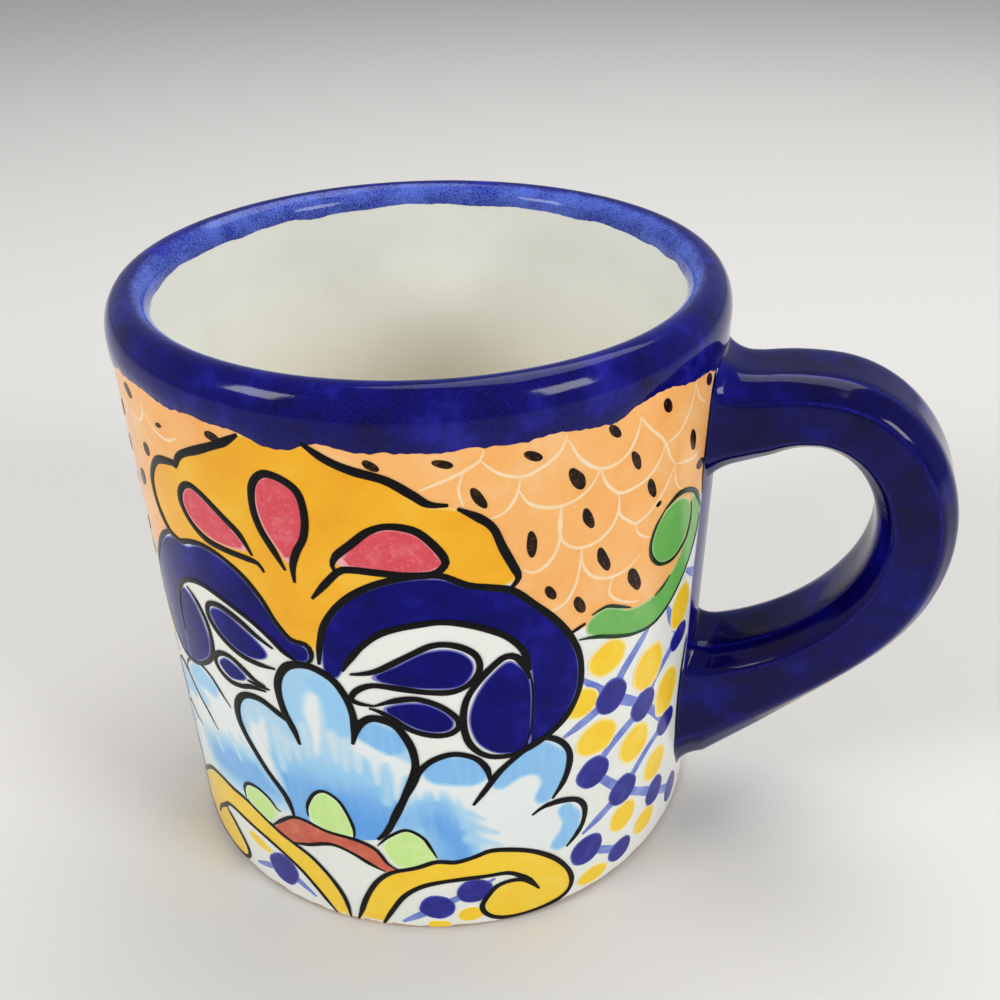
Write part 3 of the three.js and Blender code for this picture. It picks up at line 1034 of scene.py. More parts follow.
LEFT_PETALS = Motif(Pigment.PETAL, shapes=(
    ((-26.4, 21.3), (-28, 25.3), (-30.4, 28.8), (-32.4, 32), (-34.3, 35.5), (-35, 38.4), (-38, 40.6),
     (-40, 42.2), (-43, 42.7), (-46, 42), (-48.3, 40.2), (-49.4, 36.8), (-52, 37.2), (-55, 36.1),
     (-56.8, 33.4), (-56.8, 30.4), (-55, 27), (-57.8, 24), (-59.2, 20.5), (-59, 17.5), (-57.8, 15.3),
     (-55, 11.5), (-51, 14.9), (-47.5, 17.2), (-44, 18.2), (-40, 18.3), (-36.4, 18.5), (-36.5, 21),
     (-35.3, 22.7), (-33, 23.1), (-30, 22.2), (-28.6, 20.7)),
), lines=(
    ((-49.4, 37), (-49.2, 38.8), (-47.9, 40.4), (-45.6, 42.1), (-42.5, 42.8), (-40, 42.3), (-38, 40.6),
     (-35.7, 38.4)),
    ((-55, 27.2), (-56.8, 30.4), (-56.8, 33.4), (-55, 36.1), (-52, 37.2), (-49.4, 36.6), (-46, 34.2),
     (-43.5, 32.6), (-41.2, 30.4)),
    ((-56.2, 13.2), (-57.8, 15.3), (-59, 17.5), (-59.2, 20.5), (-57.8, 24), (-55, 26.8), (-52.5, 27.4),
     (-50.3, 26.8), (-48, 26.5)),
), width=0.5, washes=(
    Wash(0.84, 6, ((-43.5, 23.5, 4), (-38, 25, 5), (-33, 26, 4.4), (-29.5, 24.5, 2.8))),
    Wash(0.62, 1.5, ((-46, 38.8, 2), (-43, 40, 2.2), (-40.5, 39.6, 1.8))),
    Wash(0.5, 2.2, ((-47.5, 36.5, 1.6), (-44, 35, 1.4))),
    Wash(0.6, 1, ((-49, 33.6, 1.6), (-52, 34, 2.4), (-54.4, 32.4, 2.2), (-54.6, 29.6, 1.6))),
    Wash(0.6, 1.2, ((-53, 25.4, 1.2), (-56, 22.5, 1.8), (-57, 19, 2), (-55.6, 15.6, 1.6))),
    Wash(0.25, 1, ((-43.5, 32, 0.6), (-41.5, 26, 0.3))),
    Wash(0.3, 1, ((-37.5, 32, 0.6), (-36, 27.5, 0.3))),
    Wash(0.3, 1, ((-34.8, 33, 0.5), (-33, 29.5, 0.3))),
))

# The lime buds and the brick-red arc that the petals stand on.
LIME_BUDS = Motif(Pigment.LIME, shapes=(
    ((-22.8, 22.3), (-22.5, 25), (-21, 27.8), (-19.4, 28.8), (-17.6, 27.7), (-16.2, 25), (-15.5, 22),
     (-15.6, 20.3), (-19, 20), (-21, 20.7), (-22.6, 21.3)),
    ((-11, 19.5), (-9.5, 21.6), (-7, 23.1), (-5, 21.8), (-3.7, 19.5), (-2.8, 17), (-5, 15.4), (-8.5, 14.7),
     (-10.3, 16.8)),
    ((-36.3, 20.6), (-35.2, 22.4), (-33, 22.9), (-30.7, 22), (-29, 20.4), (-30.2, 18), (-31.4, 16.6),
     (-34, 17.7), (-36.1, 18.7)),
), lines=(
    ((-23, 22.3), (-22.8, 24.8), (-21.3, 27.8), (-19.4, 29), (-17.3, 27.8), (-16, 25), (-15.3, 22),
     (-15.5, 20.2)),
    ((-11.8, 19.3), (-10, 21.5), (-7.2, 23.3), (-4.8, 21.8), (-3.6, 19.3), (-2.8, 17.2)),
    ((-36.5, 18.9), (-36.6, 21), (-35.4, 22.7), (-33, 23.3), (-30.6, 22.4), (-29.2, 20.8), (-28.4, 20.7)),
), width=0.6)
BRICK_ARC = Motif(Pigment.BRICK, shapes=(
    ((-30.5, 15.5), (-28.5, 18.3), (-26.5, 20.3), (-24, 20.9), (-20, 20), (-15.5, 19.7), (-12.5, 18.2),
     (-10.5, 15.3), (-9.3, 14.2), (-11, 13.5), (-13.5, 15), (-16.5, 16.7), (-19, 17.3), (-22, 16.7),
     (-25, 15.2), (-28, 14.3)),
), lines=(
    ((-31, 16), (-28.5, 18.7), (-26, 20.7), (-23.5, 21), (-20, 20.2), (-15.5, 19.9), (-12.3, 18.5),
     (-10.5, 15.5), (-9, 14.3)),
    ((-27.5, 14.3), (-24, 15.5), (-21, 17), (-18.8, 17.5), (-16, 16.6), (-13.5, 15), (-11, 13.6)),
), width=0.7)

# The yellow scrolls that rise from the foot and curl under, with dots inside.
RIGHT_SCROLL = Motif(Pigment.SCROLL, shapes=(
    ((-16, 0.8), (-15.8, 3), (-14.5, 7), (-12.5, 11), (-10, 13.5), (-6, 15), (-3, 16.3), (0, 16),
     (3, 16.8), (5.5, 17.6), (9, 16.8), (12.5, 15), (16, 11.8), (18.5, 7.8), (19, 4.5), (18, 2), (10, 1.1),
     (5.5, 1.9), (4.2, 4.8), (5.3, 7.3), (7, 9.3), (9, 9.7), (11.5, 9), (12, 8.5), (10.3, 10.4), (8, 11.9),
     (5, 12.1), (1, 12), (-3, 11.5), (-6, 10.2), (-8.5, 7.8), (-10.5, 4.3), (-12, 0.8)),
), lines=(
    ((-16.5, 0.9), (-15.8, 3), (-14.5, 7), (-12.5, 11), (-10, 13.5), (-6, 15), (-3, 16.3), (0, 16),
     (3, 16.8), (5.5, 17.6), (9, 16.8), (12.5, 15), (16, 11.8), (18.5, 7.8), (19.2, 4.5), (18, 2.2),
     (14.5, 1.2), (10, 1), (6.5, 1.6), (4.5, 3), (3.8, 5), (4.8, 7.3), (6.3, 9.2), (8.5, 9.8), (10.8, 9.2),
     (12.3, 7.5), (13.3, 6)),
    ((-12.2, 1), (-10.5, 4.5), (-8.5, 8), (-6, 10.3), (-3, 11.5), (1, 12), (5, 12), (8, 11.8), (10, 10.5),
     (11.7, 8.7), (13.3, 6)),
), width=0.9)
LEFT_SCROLL = Motif(Pigment.SCROLL, shapes=(
    ((-18.1, 0.9), (-18.6, 4.5), (-19.8, 7.5), (-21.8, 10.4), (-24.2, 12.7), (-27.5, 14.3), (-31, 15.7),
     (-34, 17), (-37, 17.9), (-40.5, 17.8), (-44, 17.7), (-47.4, 16.7), (-50.3, 14.6), (-54, 11.2),
     (-57.4, 7.6), (-59, 4.4), (-57.5, 2), (-50, 1.2), (-42.5, 1.3), (-40.1, 2.6), (-40, 4.5),
     (-41.3, 6.5), (-43.2, 8.6), (-45.4, 10.2), (-43.6, 12), (-41, 12.7), (-37, 12.6), (-33, 11.9),
     (-29.5, 10.6), (-26, 8.4), (-23.6, 5.6), (-21.4, 2.8), (-19.9, 0.9)),
), lines=(
    ((-17.8, 0.9), (-18.3, 4.5), (-19.5, 7.6), (-21.5, 10.6), (-24, 13), (-27.5, 14.6), (-31, 16),
     (-34, 17.3), (-37, 18.2), (-40.5, 18.1), (-44, 18), (-47.5, 17), (-50.6, 14.9), (-54.3, 11.4),
     (-57.8, 7.8), (-59.4, 4.3), (-57.6, 1.7), (-50, 1), (-42.3, 1.1), (-39.7, 2.5), (-39.6, 4.6),
     (-41, 6.8), (-43, 8.8), (-45.3, 10.4)),
    ((-20.2, 1), (-21.7, 3), (-23.8, 5.8), (-26.2, 8.4), (-29.5, 10.5), (-33, 11.8), (-37, 12.5),
     (-41, 12.7), (-43.6, 12), (-45.4, 10.3), (-48, 7.8), (-50, 4.8)),
), width=0.8)
SCROLL_BLUE_DOTS = Touches(
    Pigment.DOT_BLUE, ((-3.3, 5.6, 2.9, 2.7, 20), (2.6, 9, 2.9, 2.6, 0), (-30.2, 6.4, 3.5, 3.1, 80))
)
SCROLL_YELLOW_DOTS = Touches(
    Pigment.YELLOW_DOT, ((2, 3.5, 2.2, 1.8, 0), (-3.2, 1.4, 2, 0.9, 0), (-35.3, 9.3, 3, 1.4, -8))
)

SCROLL_LINES = Lines(Pigment.PALE_BLUE, width=1.4, courses=(
    ((-9, 1.9), (-6, 3.8), (-3.3, 5.6), (2.6, 9), (6, 11)),
    ((-37.2, 3), (-33.5, 4.8), (-30.2, 6.4), (-27, 5), (-24, 3)),
))

# The lattice of the white side panel: blue dots joined by pale lines, with a yellow dot in each mesh.
LATTICE_LINES = Lines(Pigment.PALE_BLUE, width=1.7, courses=(
    ((20, 47), (25.4, 41.2), (32.8, 35), (40.5, 26)),
    ((22.6, 27.2), (29.3, 19.3), (38.6, 11.6), (46, 6)),
    ((22, 10.3), (29.5, 5.2)),
    ((33, 50.5), (27.5, 44.8), (25.4, 41.2), (17, 37.2)),
    ((42.5, 42.8), (36, 39), (32.8, 35), (26, 31), (22.6, 27.2)),
    ((40.5, 26), (35, 24), (29.3, 19.3), (21, 14.5)),
    ((37.5, 51), (39.3, 47.5), (42.5, 42.5)),
    ((43, 54.5), (50, 49.5)),
))
LATTICE_BLUE_DOTS = Touches(
    Pigment.DOT_BLUE,
    ((25.4, 41.2, 3.1, 3.2, 0), (32.8, 35, 3, 3.1, 0), (22.6, 27.2, 3.2, 3.2, 0),
     (29.3, 19.3, 3.1, 3.2, 0), (22, 10.3, 3.2, 3.2, 0), (29.5, 5.2, 2.8, 2.4, 0),
     (38.6, 11.6, 2.7, 2.9, 0), (42.5, 42.3, 2.9, 2.4, 0), (40.5, 26, 2.9, 2.5, 0), (46, 6, 2.6, 3, 0)),
)
LATTICE_YELLOW_DOTS = Touches(
    Pigment.YELLOW_DOT,
    ((24.3, 49, 3.5, 3.3, 0), (19.8, 42.7, 3.1, 3, 0), (33.6, 42, 3.9, 4.4, 0), (23, 34.3, 4, 3.5, 0),
     (31.3, 28, 3.7, 3.9, 0), (42.2, 48.3, 3.6, 4.3, 0), (39.8, 33, 3.7, 5, 0), (29.8, 12.8, 3.2, 3.2, 0),
     (38, 18.5, 3.4, 3.6, 0), (36, 6.8, 3.2, 2.6, 0), (23.5, 3.4, 3.3, 2, 0)),
)

# The green tendril under the scales, which curls up to a round bud.
TENDRIL = Motif(Pigment.GREEN, shapes=(
    ((41, 69.8), (44, 68), (46.3, 65), (46.4, 62), (45, 58.5), (42, 55), (38, 52), (33.5, 50.6),
     (29, 51.1), (25, 52.7), (21, 54.6), (20.2, 55.6), (20.4, 57), (21.6, 58), (23.5, 58.3), (25.5, 57.4),
     (28, 56), (31, 55.5), (34, 55.7), (37.5, 57.2), (40, 59.3), (42, 62), (42.8, 65), (42.2, 68)),
    ((42.2, 65), (41.4, 67.6), (39.4, 69.2), (36.9, 69.8), (34.4, 69.2), (32.6, 67.5), (31.9, 65),
     (32.6, 62.5), (34.5, 60.8), (36.9, 60.1), (39.4, 60.6), (41.4, 62.4)),
), lines=(
    ((46.3, 63), (45.6, 59.5), (42.6, 55.4), (38.2, 52), (33.8, 50.4), (29.5, 50.9), (26, 52.2), (22, 54),
     (19, 54.7)),
    ((34.5, 69.8), (32.6, 68), (31.6, 65.5), (32, 63), (34, 60.8), (37, 59.8), (39.5, 60.2), (41.6, 61.4),
     (42.5, 64), (42.2, 67.2)),
    ((21, 58.2), (23.5, 58.6), (25.7, 57.6), (28.2, 56.2)),
    ((33.5, 55.5), (35.5, 56.1), (37.2, 57.1)),
), width=0.65, line_pigment=Pigment.DARK_GREEN)
STEM_SHADE = Lines(
    Pigment.DARK_GREEN, 0.95, (((34.2, 69.7), (37.5, 70.6), (41, 69.7), (44, 67.6), (46.4, 64.2)),)
)
STEM_DASH = Lines(Pigment.BLACK, 0.9, (((17.4, 56.3), (20, 57.2)),))

# The orange ground under the rim: cream fish scales, with dark seeds strewn on it.
ORANGE_GROUNDS = Motif(Pigment.ORANGE, shapes=(
    ((-18, 89.5), (-16, 88.3), (-13, 86.2), (-6, 83.8), (-1, 80), (2, 79.6), (5.5, 77.4), (8, 73),
     (9.8, 68.8), (9.3, 66.5), (12.3, 63), (15.5, 59.2), (17.5, 56.4), (20, 56.5), (24, 56.5), (28, 54),
     (33, 52.8), (38, 53.7), (42, 57), (44, 61.5), (44.8, 66), (46.6, 66.5), (46.4, 76), (46.8, 85.5),
     (52, 87), (55.8, 87), (55.8, 87), (55.8, 89.5), (55.8, 89.5)),
    ((-17.5, 89.5), (-22, 88.4), (-27, 86), (-33, 83), (-38, 79.7), (-42, 78), (-44.5, 74), (-45.3, 69),
     (-44.6, 66.3), (-47.8, 63.6), (-50.8, 60), (-53.2, 56.4), (-55.5, 56.4), (-58, 56.5), (-62, 56.5),
     (-66, 54), (-71, 52.8), (-76, 53.7), (-80, 57), (-82.5, 61), (-85, 62.5), (-87.7, 62), (-87.7, 62),
     (-87.7, 89.5), (-87.7, 89.5)),
))
SCALES_BY_FAN = Lines(Pigment.CREAM, width=0.5, courses=(
    ((-2, 82.4), (1, 83.6), (3.6, 84.8), (5.4, 86), (5.8, 87.3)),
    ((5.4, 86), (7, 84.3), (9, 83.2), (11, 82.9), (13.5, 83.8), (15.5, 85.3), (16.4, 87.3)),
    ((3.4, 84.7), (2.7, 82.2), (3.2, 79.8)),
    ((6.4, 77.6), (7.8, 77.9), (9.3, 79.3), (10.1, 81.3), (10.3, 83)),
    ((10.1, 81), (11.3, 79), (13.3, 77.8), (15.8, 77.4), (18.3, 77.9), (20.2, 79.2), (21.4, 81.2)),
    ((10.6, 69.1), (12, 68.2), (14, 69), (15.4, 71.2), (15.8, 74.3), (15.8, 77.4)),
    ((13, 61.6), (14.8, 61.2), (16.8, 62), (18.2, 64.4), (18.8, 67.4), (19, 70)),
    ((-43.6, 85.6), (-41, 83.6), (-38, 83.2), (-35.6, 84.4)),
    ((-50.5, 84.8), (-47.5, 83.2), (-45, 83.6), (-43.6, 85.6), (-43.4, 87.8)),
    ((-50.5, 79.8), (-48.3, 77.6), (-46.4, 77.2)),
    ((-45, 83.6), (-44.2, 81.6), (-42.6, 80.3)),
))
SCALES = Lines(Pigment.CREAM, width=0.5, courses=(
    ((16.6, 86.6), (18, 84), (19.7, 82.2), (21.4, 81.2), (23.5, 81), (25.7, 81.8), (27.2, 84),
     (27.8, 86.5)),
    ((15.8, 77.4), (15.5, 74.6), (16, 72.2), (17.5, 70.6), (19.6, 70), (22, 70.4), (24, 72), (24.8, 74.2),
     (24.6, 76.4)),
    ((21.4, 81.2), (22.5, 78.6), (24.6, 76.5), (27, 76.2), (29.6, 76.6), (32, 78.2), (33.1, 80.4)),
    ((27.8, 86.3), (29.8, 84), (32, 82), (33.3, 80.3), (34.5, 78), (36, 76.2)),
    ((36, 76.2), (38.5, 75.4), (41.5, 74.7), (44.5, 75)),
    ((33.3, 80.4), (36.5, 81), (39, 83.4), (40, 87)),
    ((24.8, 75), (25, 73), (26.4, 71.6), (28, 70.4), (30.5, 70.8), (33.2, 72.6), (34.8, 74.4), (36, 76.2)),
    ((36.1, 75.6), (36.4, 73.6), (37.4, 71.9), (38.8, 70.9)),
    ((28, 70.4), (28.6, 68.6), (30.2, 67.2), (31.4, 66.6)),
    ((19, 70), (19.1, 67.6), (20.4, 65.2), (22.4, 63.8), (25, 63.2), (27.4, 63.6), (29.4, 64.6)),
    ((24.4, 63.1), (23.8, 61), (24.5, 59.7), (26, 58.4), (28, 57.2), (30, 56.5)),
    ((40, 86.4), (41.5, 84), (44, 82.2)),
))
SEEDS_BY_FAN = Touches(
    Pigment.SEED,
    ((-7.4, 85.9, 1.1, 0.6, -35), (1, 85.9, 1.3, 0.6, -22), (5.1, 80.7, 1.7, 0.65, -68),
     (12, 85.4, 1.3, 0.65, -35), (11.8, 72.7, 2, 0.75, -85), (14.6, 64.4, 1.3, 0.65, -70),
     (-48.2, 86.7, 1.3, 0.9, -30), (-39.7, 84.9, 0.8, 0.4, 10), (-28.5, 86.6, 1.3, 0.65, -5),
     (-45.5, 79.1, 1, 0.9, 60), (-51, 72, 1.8, 1.1, 60)),
)
SEEDS = Touches(
    Pigment.SEED,
    ((18, 80.9, 1.9, 0.85, -58), (19.9, 74.3, 1.8, 0.65, -68), (19, 60.8, 1.6, 0.7, -65),
     (22.5, 66.8, 2.3, 0.8, -66), (23.5, 85.9, 1.3, 0.65, -50), (27.4, 80.3, 1.7, 0.65, -66),
     (31, 74.6, 1.8, 0.65, -68), (33, 86.2, 1.3, 0.75, -58), (32.8, 71.4, 0.65, 0.4, 12),
     (28.6, 60.8, 2.4, 1, -66), (40.6, 77.8, 1.9, 0.75, -72), (44.4, 72.2, 1.4, 0.85, -15),
     (44.6, 85.4, 1.3, 0.85, -45)),
)

# Cobalt between the handle's joints, and the dark lines drawn along them.
HANDLE_STRIP = Motif(Pigment.COBALT, shapes=(
    ((46.9, 30), (47.2, 40), (46.8, 50), (47.1, 60), (46.8, 71), (46.8, 71), (55.8, 71), (55.8, 71),
     (55.8, 30), (55.8, 30), (46.9, 30)),
), lines=(
    ((48, 87), (47, 84), (46.4, 78), (46.3, 71), (47, 66)),
    ((46.6, 39.5), (45.6, 33), (45.4, 27), (46, 20), (47.6, 15.6)),
), width=0.8)

# What joins the two faces at the seam opposite the handle.
SEAM_LINES = Lines(Pigment.PALE_BLUE, width=1.7, courses=(
    ((-80.5, 42.3), (-87.6, 34), (-96.6, 26)),
    ((-94.6, 42.3), (-87.6, 34), (-78.5, 26)),
    ((-78.5, 26), (-87.6, 17.3), (-98.5, 11.6)),
    ((-96.6, 26), (-87.6, 17.3), (-76.6, 11.6)),
))
SEAM_BLUE_DOTS = Touches(
    Pigment.DOT_BLUE, ((-87.6, 50, 2.7, 2.4, 0), (-87.7, 34, 2.9, 3, 0), (-87.5, 17.3, 3, 3.1, 0))
)
SEAM_YELLOW_DOTS = Touches(Pigment.YELLOW_DOT, ((-87.5, 42.3, 3.6, 4, 0), (-87.7, 25.7, 3.7, 3.8, 0)))
SEAM_SCALES = Lines(Pigment.CREAM, width=0.5, courses=(
    ((-82, 82.2), (-84.6, 80.3), (-87.6, 79.7), (-90.5, 80.3), (-93.1, 82.2)),
    ((-82.5, 75), (-85, 73.4), (-87.6, 73), (-90.2, 73.4), (-92.6, 75)),
    ((-84.4, 66.4), (-86, 64.9), (-87.6, 64.5), (-89.2, 64.9), (-90.7, 66.4)),
))
SEAM_SEEDS = Touches(
    Pigment.SEED, ((-87.4, 84.4, 1.5, 0.7, -60), (-87.7, 76.8, 1.7, 0.7, -70), (-87.5, 69, 1.6, 0.7, -62))
)

Painted = Lines | Motif | Touches


@dataclass(frozen=True)
class Painting:
    """The whole painting: the same composition on both faces, drawn again by hand on the far one.

    Args:
        flower: what is painted once on a face.
        sides: what is painted by the handle and again, mirrored, on the side away from it.
        seam: what is painted once, where the faces meet.
    """

    flower: Sequence[Painted] = (
        ORANGE_GROUNDS, SCALES_BY_FAN, SEEDS_BY_FAN, AMBER_FAN, PINK_DROPS, RIGHT_HOOK, OVAL_LINE,
        RIGHT_LEAVES, LEFT_HOOK, LEFT_LEAVES, CENTRE_PETALS, RIGHT_PETALS, LEFT_PETALS, LIME_BUDS, BRICK_ARC,
        RIGHT_SCROLL, LEFT_SCROLL, SCROLL_BLUE_DOTS, SCROLL_YELLOW_DOTS, SCROLL_LINES, HANDLE_STRIP,
    )
    sides: Sequence[Painted] = (
        LATTICE_LINES, LATTICE_BLUE_DOTS, LATTICE_YELLOW_DOTS, TENDRIL, STEM_SHADE, STEM_DASH, SCALES, SEEDS,
    )
    seam: Sequence[Painted] = (SEAM_LINES, SEAM_BLUE_DOTS, SEAM_YELLOW_DOTS, SEAM_SCALES, SEAM_SEEDS)

    def sheet(self) -> Sheet:
        """Paint both faces and the seam.

        Returns:
            The painted sheet.
        """
        noise.seed_set(WOBBLE_SEED)
        painted = Sheet()
        for face in Face:
            for motif in (*self.flower, *self.sides):
                motif.paint(painted, Placing(face))
            for motif in self.sides:
                motif.paint(painted, Placing(face, mirrored=True))
        for motif in self.seam:
            motif.paint(painted, Placing(Face.NEAR))
        return painted


# Geometry Nodes that wrap the sheet on the wall

# Points of a pad that lie nearer than this are one, in metres.
SEAM_GAP = 0.001 * MM


@dataclass
class WallTree:
    """A Geometry Nodes tree that makes marks on the flat sheet and wraps them on the wall.

    Args:
        name: the tree's name.
        wall: the wall.
        sizes: name and value of each of its own inputs, in metres or plain numbers.
    """

    name: str
    wall: Wall
    sizes: dict[str, float]
    tree: Tree = field(init=False)
    source: Node = field(init=False)

    def __post_init__(self) -> None:
        """Make the tree's sockets."""
        self.tree = bpy.data.node_groups.new(self.name, "GeometryNodeTree")
        sockets = self.tree.interface
        sockets.new_socket("Geometry", in_out="INPUT", socket_type="NodeSocketGeometry")
        sockets.new_socket("Geometry", in_out="OUTPUT", socket_type="NodeSocketGeometry")
        for name in self.inputs():
            sockets.new_socket(name, in_out="INPUT", socket_type="NodeSocketFloat")
        sockets.new_socket("Finish", in_out="INPUT", socket_type="NodeSocketMaterial")
        self.source = add_node(self.tree, "NodeGroupInput")

    def inputs(self) -> dict[str, float]:
        """Gather the wall's sizes and the tree's own.

        Returns:
            Every number the tree takes, by name.
        """
        shared = {
            "Sheet Radius": self.wall.sheet_radius * MM,
            "Table Radius": self.wall.radius_at(0.0) * MM,
            "Slope": self.wall.slope,
            "Foot": self.wall.foot_edge * MM,
        }
        return {**shared, **self.sizes}

    def size(self, name: str) -> Socket:
        """The tree's input of that name."""
        return self.source.outputs[name]

    def radius_at(self, up: Socket) -> Node:
        """Work out the wall's outside radius at a height, drawn in round the foot.

        Args:
            up: the height.

        Returns:
            The node that gives the radius.
        """
        tree, foot = self.tree, self.size("Foot")
        left = add_node(tree, MATH, {0: foot, 1: up}, operation="SUBTRACT")
        below = add_node(tree, MATH, {0: left, 1: 0.0}, operation="MAXIMUM")
        below_squared = add_node(tree, MATH, {0: below, 1: 2.0}, operation="POWER")
        foot_squared = add_node(tree, MATH, {0: foot, 1: 2.0}, operation="POWER")
        chord_squared = add_node(tree, MATH, {0: foot_squared, 1: below_squared}, operation="SUBTRACT")
        chord = add_node(tree, MATH, {0: chord_squared}, operation="SQRT")
        inset = add_node(tree, MATH, {0: foot, 1: chord}, operation="SUBTRACT")
        rise = {0: up, 1: self.size("Slope"), 2: self.size("Table Radius")}
        straight = add_node(tree, MATH, rise, operation="MULTIPLY_ADD")
        return add_node(tree, MATH, {0: straight, 1: inset}, operation="SUBTRACT")

    def wrap(self, marks: Node, rise: Socket) -> None:
        """Raise flat marks off the sheet, wrap them on the wall, and give them their finish.

        Args:
            marks: node that makes the flat geometry: along, up and off the sheet.
            rise: how far off the sheet they are moved first.
        """
        tree = self.tree
        off_sheet = add_node(tree, "ShaderNodeCombineXYZ", {2: rise})
        raised = add_node(tree, "GeometryNodeSetPosition", {"Geometry": marks, "Offset": off_sheet})
        place = add_node(tree, "GeometryNodeInputPosition")
        along, up, off = add_node(tree, "ShaderNodeSeparateXYZ", {0: place}).outputs
        turn = add_node(tree, MATH, {0: along, 1: self.size("Sheet Radius")}, operation="DIVIDE")
        radius = add_node(tree, MATH, {0: self.radius_at(up), 1: off}, operation="ADD")
        cosine = add_node(tree, MATH, {0: turn}, operation="COSINE")
        sine = add_node(tree, MATH, {0: turn}, operation="SINE")
        across = add_node(tree, MATH, {0: radius, 1: cosine}, operation="MULTIPLY")
        deep = add_node(tree, MATH, {0: radius, 1: sine}, operation="MULTIPLY")
        wrapped = add_node(tree, "ShaderNodeCombineXYZ", {0: across, 1: deep, 2: up})
        moved = add_node(tree, "GeometryNodeSetPosition", {"Geometry": raised, "Position": wrapped})
        whole = add_node(tree, "GeometryNodeRealizeInstances", {0: moved})
        finish = {"Geometry": whole, "Material": self.size("Finish")}
        dressed = add_node(tree, "GeometryNodeSetMaterial", finish)
        add_node(tree, "NodeGroupOutput", {0: dressed})

    def pad(self, flat: Node) -> Node:
        """Close a flat shape into a pad as thick as from the underside to the lift.

        Args:
            flat: node that makes the shape, on the sheet.

        Returns:
            The node that makes the pad, its underside on the sheet.
        """
        tree = self.tree
        span = {0: self.size("Lift"), 1: self.size("Underside")}
        depth = add_node(tree, MATH, span, operation="SUBTRACT")
        rise = add_node(tree, "ShaderNodeCombineXYZ", {2: depth})
        extrusion = {"Mesh": flat, "Offset": rise, "Offset Scale": 1.0, "Individual": False}
        top = add_node(tree, "GeometryNodeExtrudeMesh", extrusion)
        under = add_node(tree, "GeometryNodeFlipFaces", {0: flat})
        joined = add_node(tree, "GeometryNodeJoinGeometry", {0: top})
        tree.links.new(under.outputs[0], joined.inputs[0])
        return add_node(tree, "GeometryNodeMergeByDistance", {"Geometry": joined, "Distance": SEAM_GAP})

    def apply(self, marks: Mesh | bpy.types.Curve, finish: Material) -> Piece:
        """Run the tree on flat marks and keep the result as a plain mesh.

        Args:
            marks: the flat marks.
            finish: their material.

        Returns:
            A new object with the wrapped mesh.
        """
        flat = bpy.data.objects.new(self.name, marks)
        bpy.context.scene.collection.objects.link(flat)
        modifier = flat.modifiers.new(self.name, "NODES")
        modifier.node_group = self.tree
        values = {**self.inputs(), "Finish": finish}
        for item in self.tree.interface.items_tree:
            if item.in_out == "INPUT" and item.name in values:
                modifier[item.identifier] = values[item.name]
        bpy.context.view_layer.update()
        depsgraph = bpy.context.evaluated_depsgraph_get()
        mesh = bpy.data.meshes.new_from_object(flat.evaluated_get(depsgraph))
        bpy.data.objects.remove(flat)
        return new_piece(self.name, mesh)


def new_piece(name: str, mesh: Mesh, smooth_to: float = 40.0) -> Piece:
    """Link a mesh to the scene, smooth up to an angle.

    Args:
        name: the object's name.
        mesh: its mesh.
        smooth_to: degrees above which an edge stays sharp.

    Returns:
        The new object.
    """
    mesh.name = name
    mesh.shade_smooth()
    mesh.set_sharp_from_angle(angle=math.radians(smooth_to))
    piece = bpy.data.objects.new(name, mesh)
    bpy.context.scene.collection.objects.link(piece)
    return piece


def mesh_from(
    name: str, places: Sequence[Spot], faces: Sequence, numbers: dict[str, Sequence[float]] | None = None
) -> Mesh:
    """Make a mesh from points, faces and a number or more at each point.

    Args:
        name: the mesh's name.
        places: the points, in metres.
        faces: corners of each face.
        numbers: attribute name to one number for each point.

    Returns:
        The new mesh.
    """
    mesh = bpy.data.meshes.new(name)
    mesh.from_pydata(places, [], faces)
    for attribute, values in (numbers or {}).items():
        mesh.attributes.new(attribute, "FLOAT", "POINT").data.foreach_set("value", list(values))
    mesh.update()
    return mesh


BRUSH_SIDES = 10
DAB_SIDES = 20
# Half a dot's usual breadth, by which the pale rim in a dab is measured.
DAB_RIM = 3.2
# Size of the lumps in a dab's edge.
DAB_LUMP_MM = 4.0


